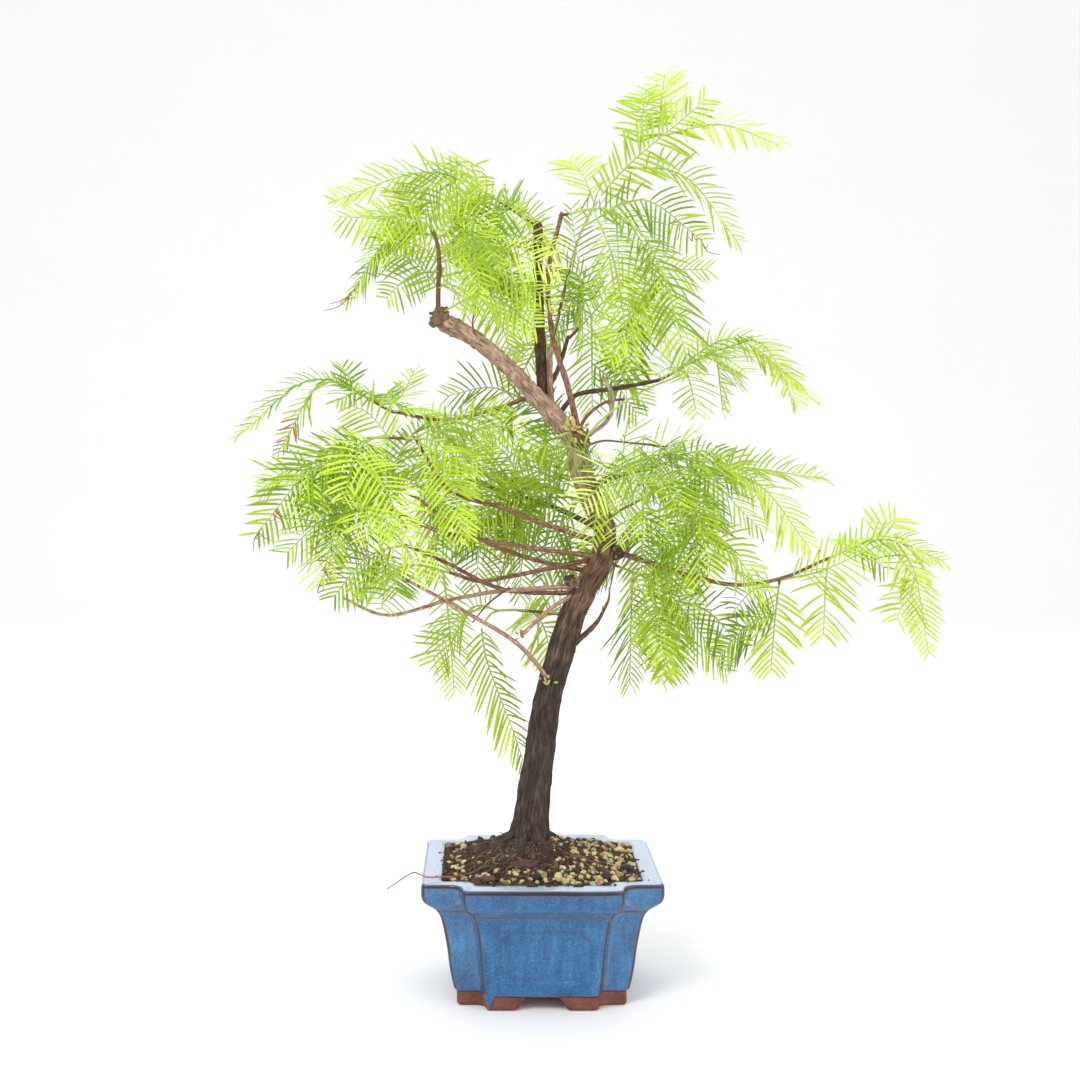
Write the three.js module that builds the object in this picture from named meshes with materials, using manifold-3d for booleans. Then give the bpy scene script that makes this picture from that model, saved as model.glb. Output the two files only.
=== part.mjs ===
// A dawn redwood trained as a bonsai, in a glazed pot with notched corners.
// Millimetres, +Z up. The origin is under the middle of the whole plant, on the ground.
import * as THREE from 'three';
import { mergeVertices } from 'three/addons/utils/BufferGeometryUtils.js';
import Module from 'manifold-3d';

const wasm = await Module();
wasm.setup();

// Driving dimensions

const clearance = 0.3; // between pieces that meet

const pot = {
  rim: { x: 76, y: 62, panel: 50, wing: 49 }, // half sizes: wings and front panels
  height: 81,
  feet: 9,
  base: 0.735, // the body above its feet, as a share of the rim
  profile: [ // up the outside: share of the rim, inset and height
    [0.735, 0, 9],
    [0.77, 0, 22],
    [0.81, 0, 42],
    [0.865, 0, 62],
    [0.93, 0, 67],
    [0.985, 0, 71.5],
    [1, 0, 75],
    [1, 0, 79.4],
  ],
  edge: 1.6, // chamfer of the rim's edge
  wall: 13,
  floor: 16,
  corner: 3, // chamfer of the outer corners
  fillet: 3.6, // chamfer inside each notch
  notchInset: 0.6, // share of the wall's thickness at the notches
  archTop: 10.5, // half width of the arch between two feet
  archFoot: 16,
  clay: 0.4, // step in from the glaze to the bare clay of the feet
};

const soil = { // rings of the mound round the trunk: radius and height
  sides: 18,
  mound: [[110, 0], [110, 77], [66, 77.6], [50, 79], [38, 83.5], [29, 89], [20, 93.5]],
};
const soilCrown = soil.mound.at(-1)[1];

const trunkStations = [ // height, lean to the right, depth, thickness
  [86, -7.4, 0, 27],
  [98, -6.6, 0, 24],
  [108, -5.6, 0.5, 22],
  [122, -4.2, 1, 21.6],
  [147, -0.3, 2, 18.9],
  [166, 2, 2, 18.2],
  [191, 6, 0, 16.6],
  [216, 13, -2, 17],
  [241, 20.7, -3, 16.5],
  [260, 29.8, -2, 15.2],
  [279, 40.6, 0, 15.2],
  [298, 43, 1, 13.8],
  [322, 32.5, 2, 14.2],
  [341, 27, 3, 15],
  [357, 24.5, 4, 14],
];
const flare = { lobes: 5, depth: 0.34, fade: 8 }; // the root flare at the foot

const needle = {
  reach: 24, // length of a tooth, which stands for a bunch of needles
  sweep: 58, // degrees between a tooth and its rib
  pitch: 15, // along the rib
  core: 1.2, // half width of the rib
  half: 0.55, // half thickness of the rib
  droop: 3.5, // of a tooth's tip
  toothed: 0.9, // share of the rib that bears teeth
};
const spray = {
  blade: 92, // length of a shoot's end spray
  side: 58, // length of a side spray
  gap: 38, // between side sprays
  bare: 12, // of the twig, next to the end spray
  forward: 0.62, // a side spray's direction, along and across its twig
  outward: 0.78,
  hang: 0.22, // drop of a side spray's tip, as a share of its length
  twig: 2.7, // thickness of a twig at its root and its tip
  tip: 1.7,
  shortest: 0.12, // share of the shoot that is twig, at least
  root: 0.02, // share that the end spray's root is sunk into its twig
  step: 28, // length of a twig's straight steps
  fat: 0.8, // added all round for the test on what a spray would touch
  turns: 8, // tries to turn a spray clear
  yaw: 1.5, // radians over which the faces of the sprays are turned
  rise: [0.25, 0.75], // least and most upward lean of a face
};

// Boughs: each runs from inside its carrier to its tip

const boughs = {
  leader: {
    path: [[24, 4, 357], [7, 0, 376], [-23, -5, 407], [-45, -8, 425], [-66, -10, 435.5]],
    thick: [12.6, 11, 9.5, 9.6, 12], sides: 8, wood: 'pale',
  },
  dead_stub: {
    path: [[3, 9, 380], [0, 9, 440], [-1, 8, 503]],
    thick: [7, 6.2, 5.6], wood: 'dark',
  },
  pale_stem: {
    path: [[9, 6, 372], [7, 6, 398], [7, 4, 420]],
    thick: [4.8, 4.4, 3.6], wood: 'pale',
  },
  red_shoot: {
    path: [[28, -1, 352], [18, -9, 392], [8, -12, 425], [5, -13, 465], [14, -14, 505]],
    thick: [4.6, 4, 3.6, 3.4, 3], wood: 'red',
  },
  upper_right: {
    path: [[14, 4, 376], [24, 10, 387], [53, 6, 392], [79, 0, 397]],
    thick: [5, 4.6, 4.2, 3.4], wood: 'dark',
  },
  upper_right_low: {
    path: [[24, 5, 353], [30, 9, 371], [44, 12, 382.6], [58, 14, 385]],
    thick: [3.4, 2.8, 2.2], wood: 'red',
  },
  grey_twig: {
    path: [[28, -3, 358], [44, -8, 371], [47, -9, 385], [41, -10, 399]],
    thick: [4.6, 4.4, 4.2, 3.4], wood: 'pale',
  },
  long_right: {
    path: [[42, 2, 287], [66, 0, 279], [103, -4, 267.5], [128, -6, 263], [158, -4, 267], [188, 0, 279]],
    thick: [6, 5, 4, 3.6, 3.2, 2.8], wood: 'dark',
  },
  broken_stub: {
    path: [[20, -4, 222], [37, -8, 239], [44, -9, 252.5]],
    thick: [5, 4.2, 3.4], wood: 'dark',
  },
  upper_left: {
    path: [[-2, 4, 388], [-30, 12, 378], [-62, 8, 371], [-98, 4, 376.5]],
    thick: [4.4, 3.8, 3.2, 2.8], wood: 'red',
  },
  left_high: {
    path: [[40, 0, 290], [5, -4, 302], [-27, -8, 314], [-59, -10, 325], [-82, -12, 360]],
    thick: [5, 4.4, 4, 3.4, 2.8], wood: 'red',
  },
  left_front: {
    path: [[38, -3, 281], [-14, -16, 289], [-67, -26, 300], [-100, -32, 315.5]],
    thick: [4.6, 4, 3.4, 2.8], wood: 'red',
  },
  left_back: {
    path: [[36, 4, 270], [-14, 14, 281], [-55, 22, 299], [-83, 28, 319.5]],
    thick: [4.6, 4, 3.4, 2.8], wood: 'red',
  },
  left_low: {
    path: [[34, 0, 279], [-20, -2, 268], [-40, -3, 265], [-56, -4, 270]],
    thick: [4.6, 3.8, 3.4, 3], wood: 'red',
  },
  left_bare: {
    path: [[25, -4, 262], [-30, -12, 259], [-61, -14, 253.5], [-100, -16, 244.5], [-128, -18, 256]],
    thick: [4, 3.4, 3, 2.4, 1.8], wood: 'red',
  },
  left_low_back: {
    path: [[28, 6, 256], [-25, 16, 258], [-62, 22, 275], [-91, 26, 287]],
    thick: [4.4, 3.8, 3.2, 2.8], wood: 'red',
  },
  bud_twig: {
    path: [[25, -4, 258], [6, -14, 248], [-12, -18, 232]],
    thick: [4.2, 3.6, 3.4], wood: 'red',
  },
  left_low_front: {
    path: [[10, -5, 196], [-14, -16, 225], [-48, -30, 248], [-84, -40, 269]],
    thick: [4.6, 4, 3.2, 2.6], wood: 'red',
  },
  back_left: {
    path: [[38, 6, 300], [10, 40, 312], [-26, 72, 322], [-48, 88, 330]],
    thick: [5.4, 4.4, 3.6, 3], wood: 'dark',
  },
  back_right: {
    path: [[32, 8, 326], [58, 36, 334], [82, 60, 338]],
    thick: [5, 4, 3.2], wood: 'dark',
  },
  back_top: {
    path: [[0, 4, 384], [12, 28, 402], [22, 46, 430]],
    thick: [4.8, 4, 3.2], wood: 'dark',
  },
};

// Foliage masses: each has one stem (its first shoot) that leaves the tip of its bough, or the
// trunk at the stated place, and shoots that leave the stem or one another. A shoot arches by
// its lift, ends at its tip in a spray of needles, and bears side sprays along its twig.

const masses = {
  top_left: {
    bough: 'leader', from: [-66, -11, 437], shoots: [
      { to: [-129, -26, 500], via: [-72, -14, 496] },
      { on: 0, at: 0.62, to: [-104, -52, 484], lift: 8 },
      { on: 0, at: 0.45, to: [-128, 20, 452], lift: 20 },
      { on: 0, at: 0.42, to: [-28, -40, 484], lift: 12 },
      { on: 0, at: 0.3, to: [-28, 20, 462], lift: 10 },
      { on: 0, at: 0.25, to: [-98, -44, 446], lift: 6 },
      { on: 0, at: 0.16, to: [-50, -52, 440], lift: 8 },
    ],
  },
  top_arch: {
    bough: 'dead_stub', from: [-1, 8, 500], shoots: [
      { to: [-136, 6, 516], lift: 27, side: 50, gap: 22 },
      { on: 0, at: 0.3, to: [-46, 44, 482], lift: 8 },
      { on: 0, at: 0.5, to: [-94, 46, 494], lift: 6 },
      { on: 0, at: 0.12, to: [-24, 48, 512], lift: 8 },
      { on: 0, at: 0.2, to: [-50, 52, 444], lift: 6 },
    ],
  },
  top_right: {
    bough: 'pale_stem', from: [7, 4, 418], shoots: [
      { to: [108, -6, 580], via: [36, 0, 512], side: 52, gap: 30 },
      { on: 0, at: 0.72, to: [73, 24, 594], lift: 8 },
      { on: 0, at: 0.8, to: [88, 44, 610], lift: 6 },
      { on: 0, at: 0.82, to: [150, -34, 544], lift: 10 },
      { on: 0, at: 0.66, to: [134, 24, 492], lift: 20 },
      { on: 0, at: 0.5, to: [22, 34, 548], lift: 6 },
      { on: 0, at: 0.42, to: [102, -30, 484], lift: 22 },
    ],
  },
  top_front: {
    bough: 'red_shoot', from: [13, -14, 503], shoots: [
      { to: [79, -44, 452], lift: 26 },
      { on: 0, at: 0.3, to: [90, -66, 398], lift: 30 },
      { on: 0, at: 0.22, to: [54, -56, 404], lift: 20 },
    ],
  },
  top_back: {
    bough: 'back_top', from: [22, 46, 428], shoots: [
      { to: [116, 34, 474], lift: 20 },
      { on: 0, at: 0.3, to: [84, 80, 430], lift: 16 },
      { on: 0, at: 0.2, to: [-36, 76, 440], lift: 26 },
      { on: 0, at: 0.25, to: [30, 118, 446], lift: 24 },
      { on: 0, at: 0.15, to: [24, 58, 520], lift: 0 },
      { on: 0, at: 0.2, to: [38, 44, 380], lift: 12 },
      { on: 0, at: 0.1, to: [-16, 60, 394], lift: 14 },
    ],
  },
  upper_right: {
    bough: 'upper_right', from: [78, 0, 397], shoots: [
      { to: [186, 8, 381], lift: 30 },
      { on: 0, at: 0.3, to: [128, 44, 378], lift: 18 },
      { on: 0, at: 0.12, to: [98, -34, 374], lift: 10 },
      { on: 0, at: 0.2, to: [114, -34, 438], lift: 6 },
      { on: 0, at: 0.4, to: [158, -48, 378], lift: 22 },
    ],
  },
  right_front: {
    bough: 'trunk', from: [33, -2, 328], shoots: [
      { to: [134, -56, 302], lift: 34, side: 62 },
      { on: 0, at: 0.16, to: [24, -52, 274], lift: 24 },
      { on: 0, at: 0.45, to: [96, -64, 272], lift: 18 },
      { on: 0, at: 0.3, to: [78, -84, 316], lift: 10 },
      { on: 0, at: 0.2, to: [88, -26, 350], lift: 2 },
    ],
  },
  right_middle: {
    bough: 'trunk', from: [41, 1, 305], shoots: [
      { to: [189, 14, 332], lift: 20, side: 60 },
      { on: 0, at: 0.5, to: [174, -12, 288], lift: 16 },
      { on: 0, at: 0.36, to: [114, 12, 270], lift: 14 },
      { on: 0, at: 0.55, to: [156, 60, 316], lift: 12 },
      { on: 0, at: 0.2, to: [70, 26, 268], lift: 10 },
    ],
  },
  far_right: {
    bough: 'long_right', from: [187, 0, 278.6], shoots: [
      { to: [261, -12, 279], lift: 14, side: 44 },
      { on: 0, at: 0.6, to: [248, -30, 220], lift: 20 },
      { on: 0, at: 0.1, to: [190, -26, 232], lift: 10 },
      { on: 0, at: 0.2, to: [224, 40, 280], lift: 8 },
    ],
  },
  under_right: {
    bough: 'long_right', from: [157, -4, 267], shoots: [
      { to: [155, 14, 204], lift: 6 },
      { on: 0, at: 0.1, to: [118, -36, 246], lift: 8 },
    ],
  },
  low_right: {
    bough: 'trunk', from: [40, 2, 279], shoots: [
      { to: [126, 20, 202], lift: 18, side: 52 },
      { on: 0, at: 0.2, to: [62, 26, 192], lift: 12 },
      { on: 0, at: 0.45, to: [94, 48, 195], lift: 12 },
      { on: 0, at: 0.5, to: [129, -14, 224], lift: 8 },
    ],
  },
  outer_left: {
    bough: 'upper_left', from: [-97, 4, 376.3], shoots: [
      { to: [-196, -18, 359], lift: 30, side: 46, gap: 26 },
      { on: 0, at: 0.1, to: [-176, 26, 349], lift: 32, side: 44 },
      { on: 0, at: 0.08, to: [-84, 28, 404], lift: -8 },
    ],
  },
  left_high: {
    bough: 'left_high', from: [-81.6, -12, 359], shoots: [
      { to: [-181, -30, 298], lift: 26, side: 52 },
      { on: 0, at: 0.2, to: [-122, -66, 322], lift: 12 },
      { on: 0, at: 0.4, to: [-142, 8, 312], lift: 10 },
      { on: 0, at: 0.05, to: [-38, -38, 342], lift: 6 },
    ],
  },
  left_front: {
    bough: 'left_front', from: [-99.5, -32, 315], shoots: [
      { to: [-158, -58, 288], lift: 12 },
      { on: 0, at: 0.3, to: [-134, -78, 272], lift: 12 },
      { on: 0, at: 0.2, to: [-104, -96, 296], lift: 12 },
    ],
  },
  left_back: {
    bough: 'left_back', from: [-82.5, 28, 319], shoots: [
      { to: [-158, 42, 308], lift: 16 },
      { on: 0, at: 0.2, to: [-114, 88, 318], lift: 16 },
      { on: 0, at: 0.35, to: [-128, 60, 278], lift: 12 },
      { on: 0, at: 0.15, to: [-64, 80, 298], lift: 14 },
    ],
  },
  inner_left: {
    bough: 'trunk', from: [38, 4, 311], shoots: [
      { to: [-62, 48, 326], via: [-6, 38, 330] },
      { on: 0, at: 0.2, to: [-30, 62, 292], lift: 10 },
      { on: 0, at: 0.4, to: [-66, 52, 282], lift: 12 },
      { on: 0, at: 0.15, to: [2, 34, 262], lift: 8 },
      { on: 0, at: 0.25, to: [-14, 30, 344], lift: 4 },
    ],
  },
  low_left: {
    bough: 'left_low', from: [-55.5, -4, 269.8], shoots: [
      { to: [-118, -10, 258], lift: 12 },
      { on: 0, at: 0.12, to: [-55, -4, 192], lift: 8 },
    ],
  },
  low_left_back: {
    bough: 'left_low_back', from: [-90.5, 26, 286.8], shoots: [
      { to: [-138, 24, 252], lift: 10 },
      { on: 0, at: 0.3, to: [-98, 64, 250], lift: 8 },
    ],
  },
  low_left_front: {
    bough: 'left_low_front', from: [-83.5, -40, 268.8], shoots: [
      { to: [-122, -50, 274], lift: 4 },
      { on: 0, at: 0.3, to: [-98, -80, 256], lift: 6 },
    ],
  },
  hanging: {
    bough: 'trunk', from: [20, 2, 243], shoots: [
      { to: [-11, 4, 146], via: [-36, 3, 240] },
      { on: 0, at: 0.16, to: [10, 34, 208], lift: 8 },
      { on: 0, at: 0.3, to: [-50, 44, 214], lift: 12 },
    ],
  },
  behind_leader: {
    bough: 'trunk', from: [28, 5, 338], shoots: [
      { to: [-36, 36, 350], via: [-8, 38, 384] },
      { on: 0, at: 0.3, to: [2, 40, 342], lift: 18 },
      { on: 0, at: 0.5, to: [-62, 46, 388], lift: 10 },
    ],
  },
  back_left: {
    bough: 'back_left', from: [-47, 87.5, 329.8], shoots: [
      { to: [-116, 120, 322], lift: 16, side: 54 },
      { on: 0, at: 0.2, to: [-38, 146, 316], lift: 18 },
      { on: 0, at: 0.35, to: [-78, 116, 278], lift: 14 },
      { on: 0, at: 0.12, to: [0, 118, 300], lift: 20 },
      { on: 0, at: 0.3, to: [-90, 98, 356], lift: 6 },
    ],
  },
  back_right: {
    bough: 'back_right', from: [81.5, 59.6, 338], shoots: [
      { to: [158, 84, 330], lift: 16, side: 54 },
      { on: 0, at: 0.2, to: [90, 136, 318], lift: 20 },
      { on: 0, at: 0.4, to: [126, 76, 286], lift: 14 },
      { on: 0, at: 0.1, to: [44, 106, 296], lift: 18 },
      { on: 0, at: 0.3, to: [108, 100, 358], lift: 4 },
    ],
  },
};

const colours = {
  glaze: { color: 0x4b82b9, roughness: 0.2, metalness: 0 },
  soil: { color: 0x3a2a1f, roughness: 0.95, metalness: 0 },
  bark: { color: 0x4a3c33, roughness: 0.9, metalness: 0 },
  pale: { color: 0x9a8168, roughness: 0.85, metalness: 0 },
  dark: { color: 0x5a4436, roughness: 0.9, metalness: 0 },
  red: { color: 0x8f5f43, roughness: 0.8, metalness: 0 },
  needles: { color: 0x8cc63f, roughness: 0.6, metalness: 0 },
};

// Solids

const vector = ([x, y, z]) => new THREE.Vector3(x, y, z);
const up = new THREE.Vector3(0, 0, 1);

function seeded(seed) {
  let state = seed >>> 0;
  return () => {
    state = (state + 0x6d2b79f5) >>> 0;
    let mixed = Math.imul(state ^ (state >>> 15), 1 | state);
    mixed = (mixed + Math.imul(mixed ^ (mixed >>> 7), 61 | mixed)) ^ mixed;
    return ((mixed ^ (mixed >>> 14)) >>> 0) / 4294967296;
  };
}

function geometryFrom(points, faces) {
  const geometry = new THREE.BufferGeometry();
  geometry.setAttribute('position', new THREE.Float32BufferAttribute(points.flatMap((p) => p.toArray()), 3));
  geometry.setIndex(faces.flat());
  return geometry;
}

function solidFrom(geometry) {
  const bare = geometry.clone();
  bare.deleteAttribute('normal');
  bare.deleteAttribute('uv');
  const merged = mergeVertices(bare, 1e-4);
  return new wasm.Manifold(new wasm.Mesh({
    numProp: 3,
    vertProperties: new Float32Array(merged.attributes.position.array),
    triVerts: new Uint32Array(merged.index.array),
  }));
}

function geometryOf(solid) {
  const { vertProperties, triVerts } = solid.getMesh();
  const geometry = new THREE.BufferGeometry();
  geometry.setAttribute('position', new THREE.Float32BufferAttribute(vertProperties, 3));
  geometry.setIndex([...triVerts]);
  return geometry;
}

// Rings of equal count, one on another, closed by a flat face at both ends.
function loft(rings) {
  const count = rings[0].length;
  const faces = [];
  for (let level = 0; level + 1 < rings.length; level += 1) {
    for (let k = 0; k < count; k += 1) {
      const a = level * count + k;
      const b = level * count + ((k + 1) % count);
      faces.push([a, b, b + count], [a, b + count, a + count]);
    }
  }
  const points = rings.flat();
  const close = (ring, start, turned) => {
    const middle = ring.reduce((sum, p) => sum.add(p), new THREE.Vector3()).divideScalar(count);
    points.push(middle);
    for (let k = 0; k < count; k += 1) {
      const a = start + k;
      const b = start + ((k + 1) % count);
      faces.push(turned ? [b, a, points.length - 1] : [a, b, points.length - 1]);
    }
  };
  close(rings[0], 0, true);
  close(rings.at(-1), (rings.length - 1) * count, false);
  return geometryFrom(points, faces);
}

// The same surface with its faces turned round.
function turned(geometry) {
  const faces = geometry.index.array;
  for (let k = 0; k < faces.length; k += 3) {
    [faces[k], faces[k + 1]] = [faces[k + 1], faces[k]];
  }
  return geometry;
}

// A round limb along a smooth path; thick holds diameters, spread evenly along it.
function limb(path, thick, { sides = 6, steps = (path.length - 1) * 2, grow = 0, shape = () => 1 } = {}) {
  const curve = new THREE.CatmullRomCurve3(path.map(vector), false, 'centripetal');
  const rings = [];
  let side = new THREE.Vector3(0, 1, 0);
  for (let step = 0; step <= steps; step += 1) {
    const u = step / steps;
    const centre = curve.getPoint(u);
    const along = curve.getTangent(u);
    side = side.clone().addScaledVector(along, -side.dot(along)).normalize();
    const other = along.clone().cross(side);
    const place = u * (thick.length - 1);
    const low = Math.min(Math.floor(place), thick.length - 2);
    const radius = THREE.MathUtils.lerp(thick[low], thick[low + 1], place - low) / 2 + grow;
    if (step === 0) centre.addScaledVector(along, -grow);
    if (step === steps) centre.addScaledVector(along, grow);
    rings.push(Array.from({ length: sides }, (_, k) => {
      const turn = (2 * Math.PI * k) / sides;
      const reach = radius * shape(turn, u);
      return centre.clone()
        .addScaledVector(side, Math.cos(turn) * reach)
        .addScaledVector(other, Math.sin(turn) * reach);
    }));
  }
  return solidFrom(loft(rings));
}

// Needles are shorter at the root and the tip of a spray.
const fullness = (u) => Math.min(1, 0.62 + 1.6 * u, 0.42 + 1.5 * (1 - u));

// A spray of needles: a thin blade along a curve, toothed on both edges, with a pointed end.
function sprayBlade(curve, face, grow = 0) {
  const length = curve.getLength();
  const pairs = Math.max(3, Math.round(length / needle.pitch));
  const core = needle.core + grow;
  const half = needle.half + grow;
  const sweep = THREE.MathUtils.degToRad(needle.sweep);
  const points = [];
  const faces = [];
  const frameAt = (u) => {
    const along = curve.getTangentAt(u);
    const normal = face.clone().addScaledVector(along, -face.dot(along)).normalize();
    return { centre: curve.getPointAt(u), along, normal, side: along.clone().cross(normal) };
  };
  for (let k = 0; k <= pairs; k += 1) {
    const { centre, normal, side } = frameAt((k / pairs) * needle.toothed);
    for (const [across, above] of [[1, 1], [-1, 1], [1, -1], [-1, -1]]) {
      points.push(centre.clone().addScaledVector(side, across * core).addScaledVector(normal, above * half));
    }
  }
  const station = (k) => ({ lt: 4 * k, rt: 4 * k + 1, lb: 4 * k + 2, rb: 4 * k + 3 });
  for (let k = 0; k < pairs; k += 1) {
    const a = station(k);
    const b = station(k + 1);
    const u = (k + 0.5) / pairs;
    const { centre, along, normal, side } = frameAt(u * needle.toothed);
    const reach = needle.reach * fullness(u) + grow;
    faces.push([a.lt, b.lt, b.rt], [a.lt, b.rt, a.rt], [a.lb, b.rb, b.lb], [a.lb, a.rb, b.rb]);
    for (const across of [1, -1]) {
      points.push(centre.clone()
        .addScaledVector(side, across * reach * Math.sin(sweep))
        .addScaledVector(along, reach * Math.cos(sweep))
        .addScaledVector(normal, -needle.droop));
      const tip = points.length - 1;
      const [at, ab, bt, bb] = across > 0 ? [a.lt, a.lb, b.lt, b.lb] : [a.rt, a.rb, b.rt, b.rb];
      const tooth = [[at, tip, bt], [ab, bb, tip], [at, ab, tip], [bt, tip, bb]];
      faces.push(...(across > 0 ? tooth : tooth.map(([p, q, r]) => [p, r, q])));
    }
  }
  const first = station(0);
  const last = station(pairs);
  points.push(curve.getPointAt(1));
  const end = points.length - 1;
  faces.push([first.lt, first.rt, first.rb], [first.lt, first.rb, first.lb]);
  faces.push([last.lt, end, last.rt], [last.lb, last.rb, end]);
  faces.push([last.lt, last.lb, end], [last.rt, end, last.rb]);
  return solidFrom(geometryFrom(points, faces));
}

// A solid without its loose scraps.
function largest(solid) {
  const pieces = solid.decompose();
  return pieces.reduce((best, piece) => (piece.volume() > best.volume() ? piece : best));
}

// The pot

// Half outlines are set in by the inset, less at the notches, and all round by the gap.
function notchedOutline(share, inset = 0, gap = 0) {
  const { x, y, panel, wing } = pot.rim;
  const { corner: r, fillet: f } = pot;
  const [X, Y] = [x, y].map((size) => size * share - inset - gap);
  const [P, W] = [panel, wing].map((size) => size * share - inset * pot.notchInset - gap);
  const quarter = [[X, W - r], [X - r, W], [P + f, W], [P, W + f], [P, Y - r], [P - r, Y]];
  const mirrored = (sx, sy) => quarter.map(([px, py]) => [sx * px, sy * py]);
  return [
    ...mirrored(1, 1), ...mirrored(-1, 1).reverse(),
    ...mirrored(-1, -1), ...mirrored(1, -1).reverse(),
  ];
}

const ringAt = (outline, z) => outline.map(([x, y]) => new THREE.Vector3(x, y, z));

const cavity = [ // down the inside: share of the rim, inset and height
  { share: 1, inset: pot.wall, z: pot.height },
  { share: 0.9, inset: 10, z: 63 },
  { share: 0.775, inset: 8, z: pot.floor },
];

// The wall is one skin: up the outside, over the rim and down the inside to the floor.
function potSolid() {
  const outside = [...pot.profile, [1, pot.edge, pot.height]];
  const inside = cavity.map(({ share, inset, z }) => [share, inset, z]);
  const rings = [...outside, ...inside].map(([share, inset, z]) => ringAt(notchedOutline(share, inset), z));
  const body = solidFrom(loft(rings));
  const feet = solidFrom(loft([0, pot.feet + 1].map((z) => ringAt(notchedOutline(pot.base, pot.clay), z))));
  const { archFoot: low, archTop: high } = pot;
  const section = [[-low, -1], [low, -1], [high, pot.feet], [-high, pot.feet]];
  const arch = loft([pot.rim.x, -pot.rim.x].map((along) => (
    section.map(([across, z]) => new THREE.Vector3(across, along, z)))));
  const arches = [arch, arch.clone().rotateZ(Math.PI / 2)];
  return arches.reduce((solid, cut) => solid.subtract(solidFrom(cut)), feet).add(body);
}

// The soil fills the pot and rises in a mound to a flat seat under the trunk.
function soilSolid(foot) {
  const rings = soil.mound.map(([radius, z]) => Array.from({ length: soil.sides }, (_, k) => {
    const turn = (2 * Math.PI * k) / soil.sides;
    return new THREE.Vector3(foot.x + Math.cos(turn) * radius, foot.y + Math.sin(turn) * radius, z);
  }));
  const inside = cavity.map(({ share, inset, z }) => ringAt(notchedOutline(share, inset, clearance), z));
  inside.at(-1).forEach((p) => p.setZ(pot.floor + clearance));
  inside.unshift(inside[0].map((p) => p.clone().setZ(soilCrown + pot.height))); // open above the rim
  return solidFrom(loft(rings)).intersect(solidFrom(turned(loft(inside))));
}

// The plant

const trunkPath = trunkStations.map(([z, x, y]) => [x, y, z]);
const trunkThick = trunkStations.map((station) => station[3]);
const trunkFoot = vector(trunkPath[0]);

// The trunk's outline, spread in lobes at its foot.
const rooted = (turn, u) => {
  const climbed = u * (trunkPath.at(-1)[2] - trunkPath[0][2]);
  return 1 + flare.depth * Math.exp(-climbed / flare.fade) * (0.6 + Math.cos(turn * flare.lobes));
};

function trunkSolid(grow = 0) {
  const solid = limb(trunkPath, trunkThick, { sides: 15, steps: 18, grow, shape: rooted });
  const cutHeight = soilCrown + clearance;
  const below = [0, cutHeight - grow].map((z) => (
    [[-60, -60], [60, -60], [60, 60], [-60, 60]].map(([x, y]) => new THREE.Vector3(x, y, z))));
  return solid.subtract(solidFrom(loft(below)));
}

const colourOf = (name) => new THREE.MeshStandardMaterial(colours[name]);
const group = new THREE.Group();
const placed = []; // every solid of the plant so far, for the tests on what touches

function place(name, solid, colour) {
  const mesh = new THREE.Mesh(geometryOf(solid), colourOf(colour));
  mesh.name = name;
  group.add(mesh);
}

const touches = (solid, other) => !solid.intersect(other).isEmpty();

place('pot', potSolid(), 'glaze');
place('soil', soilSolid(trunkFoot), 'soil');
place('trunk', trunkSolid(), 'bark');
const grownLimbs = { trunk: trunkSolid(clearance) };
placed.push(grownLimbs.trunk);

for (const [name, bough] of Object.entries(boughs)) {
  const { path, thick, sides = 5, wood } = bough;
  let solid = limb(path, thick, { sides });
  for (const grown of Object.values(grownLimbs)) {
    if (touches(solid, grown)) solid = solid.subtract(grown);
  }
  solid = largest(solid);
  place(`bough_${name}`, solid, wood);
  grownLimbs[name] = limb(path, thick, { sides, grow: clearance });
  placed.push(grownLimbs[name]);
}

// A shoot's whole curve, from its root to the tip of its end spray.
function shootCurve(start, { to, lift, via }) {
  const end = vector(to);
  const middle = via ? vector(via) : start.clone().lerp(end, 0.5).addScaledVector(up, lift);
  return new THREE.CatmullRomCurve3([start, middle, end], false, 'centripetal');
}

// A part of a curve, by its shares of the length.
function stretch(curve, from, to, count) {
  const share = (k) => THREE.MathUtils.lerp(from, to, k / count);
  const points = Array.from({ length: count + 1 }, (_, k) => curve.getPointAt(share(k)));
  return new THREE.CatmullRomCurve3(points, false, 'centripetal');
}

// The way a spray faces: to the front of the plant, more or less turned and leant back.
function faceOf(random) {
  const turn = (random() - 0.5) * spray.yaw;
  const rise = THREE.MathUtils.lerp(...spray.rise, random());
  return new THREE.Vector3(Math.sin(turn), -Math.cos(turn), rise).normalize();
}

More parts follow.
